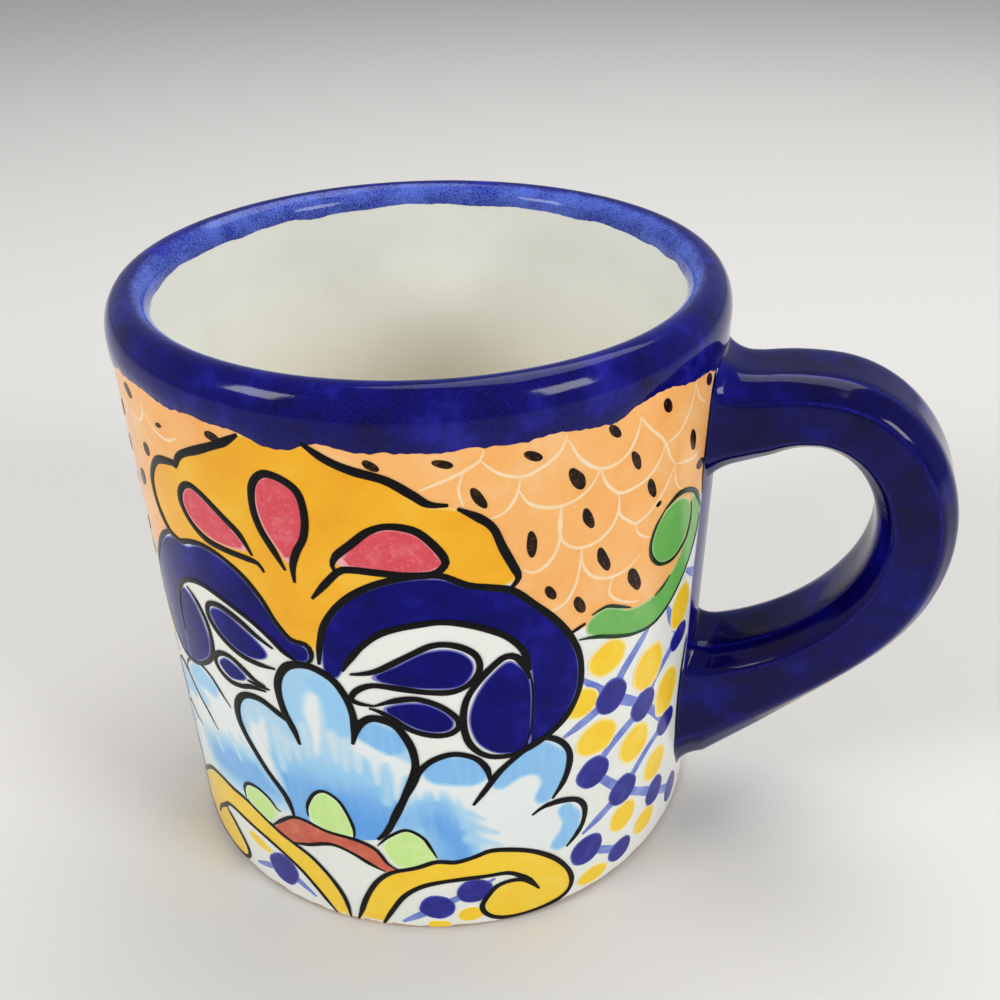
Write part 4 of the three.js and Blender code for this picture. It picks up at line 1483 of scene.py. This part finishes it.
@dataclass
class Painter:
    """Makes each pigment's marks into pieces on the wall.

    Args:
        wall: the wall to paint.
        sheet: the marks.
        sink: how deep a mark's underside lies in the wall.
        finishes: the materials made so far, by name.
    """

    wall: Wall
    sheet: Sheet
    sink: float = 0.06
    finishes: dict[str, Material] = field(default_factory=dict)

    def finish(self, pigment: Pigment) -> Material:
        """Give a pigment's material, made once.

        Args:
            pigment: the pigment.

        Returns:
            Its material.
        """
        glaze = pigment.value.finish
        if glaze.name not in self.finishes:
            self.finishes[glaze.name] = glaze.material()
        return self.finishes[glaze.name]

    def tree(self, pigment: Pigment, kind: str, **sizes: float) -> WallTree:
        """A tree for one kind of a pigment's marks."""
        shared = {"Lift": pigment.value.lift * MM, "Underside": -self.sink * MM}
        return WallTree(f"{pigment.value.finish.name}_{kind}", self.wall, {**shared, **sizes})

    def fills(self, pigment: Pigment) -> Piece:
        """Lay a pigment's filled shapes on the wall as thin closed pads.

        Args:
            pigment: the pigment.

        Returns:
            The piece.
        """
        places, faces, edges, tones = [], [], [], []
        for shape in self.sheet.fills[pigment]:
            spots, triangles, distance = triangles_in(shape.outline, pigment.value.grid)
            tone = np.zeros(len(spots))
            for wash in shape.washes:
                tone = wash.over(tone, spots)
            faces += [tuple(i + len(places) for i in f) for f in triangles]
            places += [(x * MM, y * MM, 0.0) for x, y in spots]
            edges += list(distance)
            tones += list(tone)
        build = self.tree(pigment, "fills")
        mesh = mesh_from(build.name, places, faces, {"edge": edges, "tone": tones})
        build.wrap(build.pad(build.source), build.size("Underside"))
        return build.apply(mesh, self.finish(pigment))

    def strokes(self, pigment: Pigment) -> Piece:
        """Lay a pigment's strokes on the wall as flat beads.

        Args:
            pigment: the pigment.

        Returns:
            The piece.
        """
        build = self.tree(pigment, "strokes", Bead=pigment.value.bead)
        curve = bpy.data.curves.new(build.name, "CURVE")
        curve.dimensions = "3D"
        for stroke in self.sheet.strokes[pigment]:
            spline = curve.splines.new("POLY")
            spline.points.add(len(stroke.points) - 1)
            for point, (x, y), half in zip(spline.points, stroke.points, stroke.half_widths()):
                point.co = (x * MM, y * MM, 0.0, 1.0)
                point.radius = half * MM
        tree = build.tree
        level = add_node(tree, "GeometryNodeSetCurveNormal", {"Curve": build.source}, mode="Z_UP")
        tip = add_node(tree, "GeometryNodeCurvePrimitiveCircle", {"Resolution": BRUSH_SIDES, "Radius": 1.0})
        press = add_node(tree, "ShaderNodeCombineXYZ", {0: 1.0, 1: build.size("Bead"), 2: 1.0})
        brush = add_node(tree, "GeometryNodeTransform", {"Geometry": tip, "Scale": press})
        width = add_node(tree, "GeometryNodeInputRadius")
        sweep = {"Curve": level, "Profile Curve": brush, "Scale": width, "Fill Caps": True}
        build.wrap(add_node(tree, "GeometryNodeCurveToMesh", sweep), build.size("Lift"))
        return build.apply(curve, self.finish(pigment))

    def dabs(self, pigment: Pigment) -> Piece:
        """Lay a pigment's dots or seeds on the wall, one thin uneven disc for each.

        Args:
            pigment: the pigment.

        Returns:
            The piece.
        """
        marks = self.sheet.dabs[pigment]
        build = self.tree(pigment, "dabs", Unevenness=pigment.value.wander * MM, Rim=DAB_RIM)
        mesh = mesh_from(build.name, [(d.place[0] * MM, d.place[1] * MM, 0.0) for d in marks], [])
        for attribute, values in (
            ("half_size", [(d.half_sizes[0] * MM, d.half_sizes[1] * MM, 1.0) for d in marks]),
            ("turn", [(0.0, 0.0, d.turn) for d in marks]),
        ):
            layer = mesh.attributes.new(attribute, "FLOAT_VECTOR", "POINT")
            layer.data.foreach_set("vector", [n for value in values for n in value])
        tree = build.tree
        half, turn = (
            add_node(tree, "GeometryNodeInputNamedAttribute", {"Name": name}, data_type="FLOAT_VECTOR")
            for name in ("half_size", "turn")
        )
        spin = add_node(tree, "FunctionNodeEulerToRotation", {0: turn})
        touch = {
            "Points": build.source,
            "Instance": build.pad(self.disc(build)),
            "Rotation": spin,
            "Scale": half,
        }
        touched = add_node(tree, "GeometryNodeInstanceOnPoints", touch)
        whole = add_node(tree, "GeometryNodeRealizeInstances", {0: touched})
        lumps = add_node(tree, NOISE, {"Scale": per_mm(DAB_LUMP_MM), "Detail": 1.0}).outputs["Color"]
        spread = {0: lumps, 1: (2.0, 2.0, 0.0), 2: (-1.0, -1.0, 0.0)}
        centred = add_node(tree, VECTOR_MATH, spread, operation="MULTIPLY_ADD")
        stray = {0: centred, "Scale": build.size("Unevenness")}
        wander = add_node(tree, VECTOR_MATH, stray, operation="SCALE")
        uneven = add_node(tree, "GeometryNodeSetPosition", {"Geometry": whole, "Offset": wander})
        build.wrap(uneven, build.size("Underside"))
        return build.apply(mesh, self.finish(pigment))

    def disc(self, build: WallTree) -> Node:
        """Make a flat disc of radius one whose attribute "edge" grows from its rim.

        Args:
            build: the tree to add to.

        Returns:
            The node that makes the disc.
        """
        tree = build.tree
        fan = {"Vertices": DAB_SIDES, "Radius": 1.0}
        disc = add_node(tree, "GeometryNodeMeshCircle", fan, fill_type="TRIANGLE_FAN")
        fine = add_node(tree, "GeometryNodeSubdivideMesh", {"Mesh": disc, "Level": 1})
        spot = add_node(tree, "GeometryNodeInputPosition")
        out = add_node(tree, VECTOR_MATH, {0: spot}, operation="LENGTH").outputs["Value"]
        from_rim = add_node(tree, MATH, {0: 1.0, 1: out}, operation="SUBTRACT")
        edge = add_node(tree, MATH, {0: from_rim, 1: build.size("Rim")}, operation="MULTIPLY")
        named = {"Geometry": fine, "Name": "edge", "Value": edge}
        return add_node(tree, "GeometryNodeStoreNamedAttribute", named)

    def pieces(self) -> list[Piece]:
        """Make every pigment's pieces.

        Returns:
            The pieces.
        """
        made = [self.fills(p) for p in self.sheet.fills]
        made += [self.strokes(p) for p in self.sheet.strokes]
        made += [self.dabs(p) for p in self.sheet.dabs]
        return made


# The cup, its rim and its handle

# Degrees above which an edge of the cup, or of its cobalt pieces, stays sharp.
CUP_SMOOTH = 50.0
COBALT_SMOOTH = 60.0


@dataclass
class Cup:
    """The turned cup: flat foot, straight wall, rounded lip and filleted floor.

    Args:
        wall: its wall.
        turns: steps round it.
        arc_steps: steps in each round of its profile.
        wall_steps: steps up its wall.
        shade_full_depth: depth inside at which the painted shade is at its darkest.
    """

    wall: Wall
    turns: int = 256
    arc_steps: int = 12
    wall_steps: int = 24
    shade_full_depth: float = 45.0

    def arc(self, centre: Point, run_rise: Point, start: float, end: float) -> list[Point]:
        """Run an elliptical arc through the profile.

        Args:
            centre: of the ellipse.
            run_rise: its half sizes.
            start: first angle, in degrees.
            end: last angle.

        Returns:
            Points of the arc, both ends included.
        """
        (x, y), (run, rise) = centre, run_rise
        steps = range(self.arc_steps + 1)
        turns = [math.radians(start + (end - start) * k / self.arc_steps) for k in steps]
        return [(x + run * math.cos(a), y + rise * math.sin(a)) for a in turns]

    def lip(self) -> list[Point]:
        """Round the lip, from its outside shoulder to its inside round.

        Returns:
            Points in order.
        """
        wall = self.wall
        crest = wall.rim_radius - wall.lip_shoulder[0]
        shoulder = self.arc((crest, wall.height - wall.lip_shoulder[1]), wall.lip_shoulder, 0, 90)
        inner = self.arc((crest, wall.height - wall.lip_inside[1]), wall.lip_inside, 90, 180)
        return [*shoulder, *inner[1:]]

    def inside_top(self) -> Point:
        """Where the lip has run into the straight inside wall."""
        up = self.wall.height - self.wall.lip_inside[1] - self.wall.lip_blend
        return self.wall.radius_at(up) - self.wall.thickness, up

    def profile(self) -> list[Point]:
        """Draw the profile from under the foot, over the lip, to the edge of the floor.

        Returns:
            Radius and height of each point, in order.
        """
        wall = self.wall
        edge = (wall.foot_edge, wall.foot_edge)
        foot = self.arc((wall.base_radius - wall.foot_edge, wall.foot_edge), edge, -90, 0)
        top = wall.height - wall.lip_shoulder[1]
        shares = [k / self.wall_steps for k in range(1, self.wall_steps)]
        rise = [wall.foot_edge + (top - wall.foot_edge) * t for t in shares]
        outside = [(wall.radius_at(up), up) for up in rise]
        fillet_up = wall.floor + wall.floor_fillet
        fillet_radius = wall.radius_at(fillet_up) - wall.thickness
        start = self.inside_top()
        span = (fillet_radius - start[0], fillet_up - start[1])
        inner = [(start[0] + span[0] * t, start[1] + span[1] * t) for t in (0.0, *shares)]
        round_floor = (wall.floor_fillet, wall.floor_fillet)
        fillet = self.arc((fillet_radius - wall.floor_fillet, fillet_up), round_floor, 0, -90)
        return [*foot, *outside, *self.lip(), *inner, *fillet]

    def depth_at(self, place: Spot) -> float:
        """Tell how deep inside the cup a point of its skin lies.

        Args:
            place: the point, in metres.

        Returns:
            From 0 outside and at the lip to 1 at the full depth of the painted shade and below.
        """
        x, y, z = place
        hollow = (self.wall.radius_at(self.wall.height) - self.wall.thickness / 2) * MM
        if z > MM and math.hypot(x, y) < hollow:
            return min((self.wall.height - z / MM) / self.shade_full_depth, 1.0)
        return 0.0

    def build(self) -> Piece:
        """Turn the profile.

        Returns:
            The cup.
        """
        profile = self.profile()
        rows = len(profile)
        angles = [2 * math.pi * k / self.turns for k in range(self.turns)]
        places = [(r * MM * math.cos(a), r * MM * math.sin(a), z * MM) for a in angles for r, z in profile]
        faces = []
        under, floor = len(places), len(places) + 1
        places += [(0, 0, profile[0][1] * MM), (0, 0, profile[-1][1] * MM)]
        for turn in range(self.turns):
            here, there = turn * rows, (turn + 1) % self.turns * rows
            faces += [(here + k, there + k, there + k + 1, here + k + 1) for k in range(rows - 1)]
            faces += [(under, there, here), (floor, here + rows - 1, there + rows - 1)]
        # The depth steers the white glaze's painted shade inside the cup.
        mesh = mesh_from("glazed_cup", places, faces, {"depth": [self.depth_at(p) for p in places]})
        cup = new_piece("glazed_cup", mesh, CUP_SMOOTH)
        cup.data.materials.append(WHITE_TIN.material())
        return cup


@dataclass
class RimCoat:
    """The cobalt coat over the lip, with a brushed, uneven edge outside and inside.

    Args:
        cup: the cup.
        edge_outside: along the layout and up, the coat's outside edge.
        edge_inside: height of its inside edge.
        waves_outside: height and span of each wave in the outside edge.
        waves_inside: the same in the inside edge.
        wave_slice: which slice of the noise a wave follows, for each millimetre of its span.
        coat: thickness of the glaze.
        feather: share of that thickness at the edges.
        feather_steps: points over which it comes up to the whole.
        sink: how deep its underside lies in the wall.
        turns: steps round the lip.
        steps: points from the outside edge to the inside edge.
        thin_glaze_and_sheen_from: how far outside the crest the lighter blue begins, partly thin glaze and
            partly painted highlight.
        thin_glaze_and_sheen_run: over how far it grows.
    """

    cup: Cup
    edge_outside: Outline = (
        (-76, 87.7), (-68, 86.6), (-60, 86), (-57, 87), (-52, 88.5), (-47, 88.9), (-42, 89), (-37, 88.6),
        (-32, 88.7), (-28, 88.5), (-26, 88.3), (-24, 88), (-22, 87.3), (-20, 86.8), (-18, 87),
        (-16.5, 87.5), (-15, 88.3), (-13, 88.5), (-10, 87.8), (-7.5, 87.5), (0, 87.6), (10, 87.5),
        (14, 87.8), (20, 87.6), (22, 87.2), (23.5, 87), (25, 87.7), (27, 88.3), (30, 88.6), (34, 88.6),
        (37, 87.8), (40, 87.3), (45, 86.7), (50, 85),
    )
    edge_inside: float = 91.6
    waves_outside: Outline = ((0.35, 3.5), (0.25, 0.9))
    waves_inside: Outline = ((0.8, 7.0), (0.1, 1.0))
    wave_slice: float = 9.0
    coat: float = 0.24
    feather: float = 0.25
    feather_steps: float = 3.0
    sink: float = 0.12
    turns: int = 768
    steps: int = 26
    thin_glaze_and_sheen_from: float = 1.0
    thin_glaze_and_sheen_run: float = 2.6

    def wave(self, angle: float, waves: Outline) -> float:
        """Add up an edge's waves at one place.

        Args:
            angle: round the cup, in radians.
            waves: height and span of each.

        Returns:
            How far the edge strays up.
        """
        spot = Vector((math.cos(angle), math.sin(angle), 0)) * self.cup.wall.sheet_radius
        spots = [spot / span + Vector((0, 0, self.wave_slice * span)) for _, span in waves]
        return sum(height * noise.noise(at) for (height, _), at in zip(waves, spots))

    def edges_at(self, angle: float) -> Point:
        """Find the heights of the coat's edges.

        Args:
            angle: round the cup, in radians.

        Returns:
            The outside and the inside edge, with the brush's unevenness.
        """
        layout = HANDLE_ALONG - abs(angle * self.cup.wall.sheet_radius)
        outside = float(np.interp(layout, *zip(*self.edge_outside)))
        outside += self.wave(angle, self.waves_outside)
        return outside, self.edge_inside + self.wave(angle, self.waves_inside)

    def course(self, angle: float) -> list[Vector]:
        """Lead the coat over the lip at one place, from its outside edge to its inside edge.

        Args:
            angle: round the cup, in radians.

        Returns:
            Radius and height of evenly spaced points.
        """
        low, inner_up = self.edges_at(angle)
        lip = np.array([*self.cup.lip(), self.cup.inside_top()])
        crest = int(lip[:, 1].argmax())
        inner_radius = np.interp(inner_up, lip[: crest - 1 : -1, 1], lip[: crest - 1 : -1, 0])
        order = np.arange(len(lip))
        kept = lip[((order <= crest) & (lip[:, 1] > low)) | ((order > crest) & (lip[:, 1] > inner_up))]
        corners = np.array([(self.cup.wall.radius_at(low), low), *kept, (inner_radius, inner_up)])
        lengths = np.concatenate([[0], np.cumsum(np.hypot(*np.diff(corners, axis=0).T))])
        at = np.linspace(0, lengths[-1], self.steps)
        radii, heights = (np.interp(at, lengths, corners[:, k]) for k in (0, 1))
        return [Vector(p) for p in zip(radii, heights)]

    def skin(self, course: list[Vector]) -> list[Vector]:
        """Close the coat round its course, feathered at both edges.

        Args:
            course: where the coat lies on the lip.

        Returns:
            The top from the outside edge in, then the underside back.
        """
        last = len(course) - 1
        top, under = [], []
        for k, spot in enumerate(course):
            ahead = course[min(k + 1, last)] - course[max(k - 1, 0)]
            out = Vector((ahead.y, -ahead.x)).normalized()
            lift = self.coat * min(1.0, self.feather + min(k, last - k) / self.feather_steps)
            top.append(spot + out * lift)
            under.append(spot - out * self.sink)
        return [*top, *reversed(under)]

    def build(self) -> Piece:
        """Lay the coat as a closed skin, its underside just inside the wall.

        Returns:
            The coat.
        """
        crest = self.cup.wall.rim_radius - self.cup.wall.lip_shoulder[0]
        places, thin, faces = [], [], []
        rows = 2 * self.steps
        for turn in range(self.turns):
            angle = 2 * math.pi * turn / self.turns - math.pi
            for spot in self.skin(self.course(angle)):
                places.append((spot.x * MM * math.cos(angle), spot.x * MM * math.sin(angle), spot.y * MM))
                # Lighter blue inside the crest: partly glaze run thin, partly painted highlight.
                thin.append(min(max((crest + self.thin_glaze_and_sheen_from - spot.x) / self.thin_glaze_and_sheen_run, 0.0), 1.0))
            here, there = turn * rows, (turn + 1) % self.turns * rows
            for k in range(rows):
                up = (k + 1) % rows
                faces.append((here + k, there + k, there + up, here + up))
        mesh = mesh_from("cobalt_rim_coat", places, faces, {"thin": thin})
        coat = new_piece("cobalt_rim_coat", mesh, COBALT_SMOOTH)
        coat.data.materials.append(COBALT_COAT.material())
        return coat


# A cubic arc handle of this share of the radius draws a quarter of an ellipse.
QUARTER_ARC = 0.5523

# How finely the handle's direction, edges and free length are found.
HEADING_STEP = 0.004
EDGE_HALVINGS = 24
REACH_TRIES = 600
REACH_SKIP = 8


@dataclass
class Handle:
    """The strap handle: one glazed loop whose ends spread on to the wall.

    Args:
        wall: the wall it stands on.
        width: of the strap.
        upper_thickness, lower_thickness: of the strap at its ends.
        squareness: power of the section's rounded oblong, where 2 is an ellipse.
        ridges, ridge: how many soft ridges it has, and their height as a share of its half sizes.
        ridge_thinning_and_sheen: how much lighter the glaze is on them, partly run thin and partly a painted
            highlight.
        upper_joint, lower_joint: heights of the joints.
        reach, reach_drop: how far out the loop goes, and how far below the upper joint.
        crest_out, crest_rise: its highest place, from the upper joint.
        lower_arm: run and rise of the lower arm, which sets its slope.
        overrun: how far the middle line runs on into the wall.
        slip_run: how far from the wall the ends begin to spread.
        side_flare: how far they spread to either side.
        upper_flare, lower_flare: how far each end spreads outside the loop and inside it.
        upper_swell, lower_swell: over what run each end swells, and how far outside the loop and inside it.
        root: how deep the ends go into the wall.
        clear: how far past the spread the strap's own rings begin.
        sides, stations, slip_stations: corners of a ring, and rings along the strap and in each spread.
        bend_steps: points in each bend of the middle line.
        course, lengths: the middle line, out and up, and the share of its length at each of its points.
    """

    wall: Wall
    width: float = 17.6
    upper_thickness: float = 10.8
    lower_thickness: float = 12.4
    squareness: float = 3.0
    ridges: int = 8
    ridge: float = 0.018
    ridge_thinning_and_sheen: float = 0.8
    upper_joint: float = 77.0
    lower_joint: float = 26.0
    reach: float = 30.2
    reach_drop: float = 17.5
    crest_out: float = 14.5
    crest_rise: float = 2.0
    lower_arm: Point = (16.0, 5.0)
    overrun: float = 9.0
    slip_run: float = 4.0
    side_flare: float = 1.0
    upper_flare: Point = (2.0, 2.4)
    lower_flare: Point = (2.5, 2.0)
    upper_swell: Spot = (16.0, 2.0, 3.5)
    lower_swell: Spot = (24.0, 9.5, 1.5)
    root: float = 1.0
    clear: float = 1.0
    sides: int = 64
    stations: int = 110
    slip_stations: int = 9
    bend_steps: int = 80
    course: np.ndarray = field(init=False)
    lengths: np.ndarray = field(init=False)

    def __post_init__(self) -> None:
        """Lay out the strap's middle line."""
        upper = np.array([self.wall.radius_at(self.upper_joint), self.upper_joint])
        lower = np.array([self.wall.radius_at(self.lower_joint), self.lower_joint])
        crest = upper + (self.crest_out, self.crest_rise)
        reach = upper + (self.reach, -self.reach_drop)
        arm = lower + self.lower_arm
        halfway = (upper[0] + crest[0]) / 2
        over = QUARTER_ARC * (reach[0] - crest[0])
        down = QUARTER_ARC * (crest[1] - reach[1])
        away = (lower - arm) / np.linalg.norm(lower - arm)
        bends = (
            (upper, (halfway, upper[1]), (halfway, crest[1]), crest),
            (crest, crest + (over, 0), reach + (0, down), reach),
            (reach, reach - (0, QUARTER_ARC * (reach[1] - arm[1])), arm, lower),
        )
        points = [upper - (self.overrun, 0)]
        for bend in bends:
            for t in np.linspace(0, 1, self.bend_steps, endpoint=False):
                s = 1 - t
                weights = (s**3, 3 * s * s * t, 3 * s * t * t, t**3)
                points.append(sum(w * np.array(p) for w, p in zip(weights, bend)))
        points += [lower, lower + self.overrun * away]
        self.course = np.array(points)
        steps = np.hypot(*np.diff(self.course, axis=0).T)
        self.lengths = np.concatenate([[0], np.cumsum(steps)]) / steps.sum()

    def middle(self, at: float) -> np.ndarray:
        """The middle line's place at a share of its length."""
        return np.array([np.interp(at, self.lengths, self.course[:, k]) for k in (0, 1)])

    def heading(self, at: float) -> np.ndarray:
        """The middle line's direction at a share of its length."""
        span = self.middle(min(at + HEADING_STEP, 1)) - self.middle(max(at - HEADING_STEP, 0))
        return span / np.linalg.norm(span)

    def section(self, side: int) -> Point:
        """Find a corner of the strap's section, with its soft ridges.

        Args:
            side: number of the corner.

        Returns:
            Across and out, as shares of the half sizes.
        """
        angle = 2 * math.pi * side / self.sides
        ratios = (math.cos(angle), math.sin(angle))
        swell = 1 - self.ridge * math.cos(self.ridges * angle)
        return tuple(math.copysign(abs(r) ** (2 / self.squareness), r) * swell for r in ratios)

    def thinning_and_sheen(self, side: int) -> float:
        """How much lighter the glaze is on a corner of the section: partly run thin, partly a painted
        highlight.
        """
        angle = 2 * math.pi * side / self.sides
        return self.ridge_thinning_and_sheen * max(0.0, -math.cos(self.ridges * angle)) ** 2

    def strap_corner(self, at: float, side: int) -> np.ndarray:
        """Find a corner of the strap, square to its middle line.

        Args:
            at: share of the middle line's length.
            side: number of the corner.

        Returns:
            Its place in millimetres.
        """
        across, out = self.section(side)
        middle, along = self.middle(at), self.heading(at)
        run, outside, inner = self.upper_swell if along[0] > 0 else self.lower_swell
        away = min(max((middle[0] - self.wall.radius_at(middle[1])) / run, 0), 1)
        swell = (outside if out > 0 else inner) * (1 - away) ** 2
        half = (self.upper_thickness + (self.lower_thickness - self.upper_thickness) * at) / 2
        out *= half + swell
        return np.array([middle[0] - along[1] * out, across * self.width / 2, middle[1] + along[0] * out])

    def off_wall(self, place: np.ndarray) -> float:
        """How far outside the wall a place is."""
        return math.hypot(place[0], place[1]) - self.wall.radius_at(place[2])

    def edge_corner(self, distance: float, side: int, is_upper: bool) -> np.ndarray:
        """Find where one edge of the strap is a distance outside the wall, near one end.

        Args:
            distance: from the wall.
            side: number of the corner.
            is_upper: which end.

        Returns:
            The place in millimetres.
        """
        near, far = (0.0, 0.5) if is_upper else (1.0, 0.5)
        for _ in range(EDGE_HALVINGS):
            between = (near + far) / 2
            if self.off_wall(self.strap_corner(between, side)) < distance:
                near = between
            else:
                far = between
        return self.strap_corner(near, side)

    def joint_ring(self, distance: float, share: float, is_upper: bool) -> list[np.ndarray]:
        """Lay the strap's section on the wall's own curve.

        Args:
            distance: from the wall.
            share: how far it has flared.
            is_upper: which end.

        Returns:
            The ring's corners.
        """
        outside, inner = self.upper_flare if is_upper else self.lower_flare
        ring = []
        for side in range(self.sides):
            across, out = self.section(side)
            edge = self.edge_corner(distance, side, is_upper)
            y = edge[1] + across * self.side_flare * share
            z = edge[2] + (1 if is_upper else -1) * out * (outside if out > 0 else inner) * share
            ring.append(np.array([math.sqrt((self.wall.radius_at(z) + distance) ** 2 - y**2), y, z]))
        return ring

    def joint_rings(self, is_upper: bool) -> list[list[np.ndarray]]:
        """Spread one end of the strap on to the wall in a hollow quarter round.

        Args:
            is_upper: which end.

        Returns:
            Its rings, from the strap into the wall.
        """
        turns = [k * math.pi / 2 / self.slip_stations for k in range(self.slip_stations + 1)]
        flares = [(self.slip_run * (1 - math.sin(t)), 1 - math.cos(t)) for t in turns]
        return [self.joint_ring(d, s, is_upper) for d, s in (*flares, (-self.root, 1.0))]

    def rings(self) -> list[list[np.ndarray]]:
        """Make every ring from the upper joint round to the lower one.

        Returns:
            The rings in order.
        """
        free = []
        for at in np.linspace(0, 1, REACH_TRIES):
            corners = [self.strap_corner(at, side) for side in range(0, self.sides, REACH_SKIP)]
            if min(self.off_wall(corner) for corner in corners) > self.slip_run + self.clear:
                free.append(at)
        stations = np.linspace(free[0], free[-1], self.stations)
        strap = [[self.strap_corner(at, side) for side in range(self.sides)] for at in stations]
        return [*reversed(self.joint_rings(True)), *strap, *self.joint_rings(False)]

    def build(self) -> Piece:
        """Loft the rings.

        Returns:
            The handle.
        """
        rings = self.rings()
        places = [tuple(c * MM for c in corner) for ring in rings for corner in ring]
        # Lighter blue on the ridges: partly thin glaze, partly painted highlight.
        thin = [self.thinning_and_sheen(side) for _ in rings for side in range(self.sides)]
        faces = []
        for ring in range(len(rings) - 1):
            for side in range(self.sides):
                a = ring * self.sides + side
                b = ring * self.sides + (side + 1) % self.sides
                faces.append((a, b, b + self.sides, a + self.sides))
        faces.append(tuple(reversed(range(self.sides))))
        faces.append(tuple(range(len(places) - self.sides, len(places))))
        mesh = mesh_from("cobalt_strap_handle", places, faces, {"thin": thin})
        strap = new_piece("cobalt_strap_handle", mesh, COBALT_SMOOTH)
        strap.data.materials.append(COBALT_HANDLE.material())
        return strap


# Studio


@dataclass(frozen=True)
class Lamp:
    """A soft box: its name, its place in metres, its power in watts, and its side in metres."""

    name: str
    place: Spot
    power: float
    size: float


@dataclass(frozen=True)
class Studio:
    """Pale floor, soft boxes, and the camera above the near side, turned a little to the handle.

    Places and lengths are in metres, and the lens in millimetres. Yaw, pitch and roll are the degrees that
    the camera looks to the left of +Y, looks down, and leans. The soft boxes point at the aim.
    """

    camera_place: Spot = (0.05311, -0.14811, 0.14921)
    yaw: float = 15.66
    pitch: float = 31.59
    roll: float = -1.05
    lens: float = 39.03
    clip_start: float = 0.005
    floor_half: float = 6.0
    floor_colour: str = "#dcdad6"
    floor_roughness: float = 0.9
    sky_colour: str = "#f4f6fa"
    sky_strength: float = 0.4
    aim: Spot = (0.01, 0.0, 0.05)
    lamps: Sequence[Lamp] = (
        Lamp("key_box", (-0.58, -0.58, 0.6), 4.0, 0.3),
        Lamp("fill_box", (0.79, -0.29, 0.55), 4.0, 0.3),
        Lamp("top_box", (0.1, 0.35, 0.85), 4.0, 0.6),
    )

    def build(self) -> None:
        """Set up the floor, the light and the camera."""
        self.lay_floor()
        for lamp in self.lamps:
            self.hang(lamp)
        self.light_sky()
        self.set_camera()
        bpy.context.scene.view_settings.view_transform = "Standard"

    def lay_floor(self) -> None:
        """Lay a matt pale floor under the mug."""
        h = self.floor_half
        corners = [(-h, -h, 0), (h, -h, 0), (h, h, 0), (-h, h, 0)]
        floor = new_piece("studio_floor", mesh_from("studio_floor", corners, [(0, 1, 2, 3)]))
        paper = bpy.data.materials.new("matt_paper_floor")
        paper.use_nodes = True
        shader = paper.node_tree.nodes["Principled BSDF"]
        shader.inputs["Base Color"].default_value = to_linear(self.floor_colour)
        shader.inputs["Roughness"].default_value = self.floor_roughness
        floor.data.materials.append(paper)

    def hang(self, lamp: Lamp) -> None:
        """Hang a soft box, turned to the mug.

        Args:
            lamp: the soft box.
        """
        light = bpy.data.lights.new(lamp.name, "AREA")
        light.energy = lamp.power
        light.size = lamp.size
        box = bpy.data.objects.new(lamp.name, light)
        box.location = lamp.place
        box.rotation_euler = (Vector(self.aim) - Vector(lamp.place)).to_track_quat("-Z", "Y").to_euler()
        bpy.context.scene.collection.objects.link(box)

    def light_sky(self) -> None:
        """Light the mug evenly from all round."""
        world = bpy.data.worlds.new("studio_sky")
        world.use_nodes = True
        sky = world.node_tree.nodes["Background"]
        sky.inputs["Color"].default_value = to_linear(self.sky_colour)
        sky.inputs["Strength"].default_value = self.sky_strength
        bpy.context.scene.world = world

    def set_camera(self) -> None:
        """Stand the camera where the photograph was taken."""
        yaw, pitch, roll = (math.radians(a) for a in (self.yaw, self.pitch, self.roll))
        level = math.cos(pitch)
        ahead = Vector((-math.sin(yaw) * level, math.cos(yaw) * level, -math.sin(pitch)))
        right = Vector((math.cos(yaw), math.sin(yaw), 0.0))
        up = right.cross(ahead)
        across = math.cos(roll) * right + math.sin(roll) * up
        upright = math.cos(roll) * up - math.sin(roll) * right
        turn = Matrix((across, upright, -ahead)).transposed().to_4x4()
        camera = bpy.data.objects.new("camera", bpy.data.cameras.new("camera"))
        camera.data.lens = self.lens
        camera.data.clip_start = self.clip_start
        camera.matrix_world = Matrix.Translation(self.camera_place) @ turn
        bpy.context.scene.collection.objects.link(camera)
        bpy.context.scene.camera = camera


def fit(piece: Piece, slot: str, *nodes: str) -> None:
    """Tie a finished piece to the frame.

    Args:
        piece: the piece.
        slot: not used.
        nodes: the CAD nodes it stands for.
    """
    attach(piece, BODY)
    if nodes:
        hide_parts(*nodes)
    log.info("%s: %d faces", piece.name, len(piece.data.polygons))


def main() -> None:
    """Build the mug and its studio."""
    logging.basicConfig(level=logging.INFO, format="%(message)s")
    wall = Wall.from_frame()
    cup = Cup(wall)
    fit(cup.build(), "white_glaze", "cup_body")
    fit(RimCoat(cup).build(), "cobalt_glaze")
    fit(Handle(wall).build(), "cobalt_glaze", "handle", "upper_slip_joint", "lower_slip_joint")
    for piece in Painter(wall, Painting().sheet()).pieces():
        fit(piece, "painted_ornament")
    Studio().build()


if __name__ == "__main__":
    main()
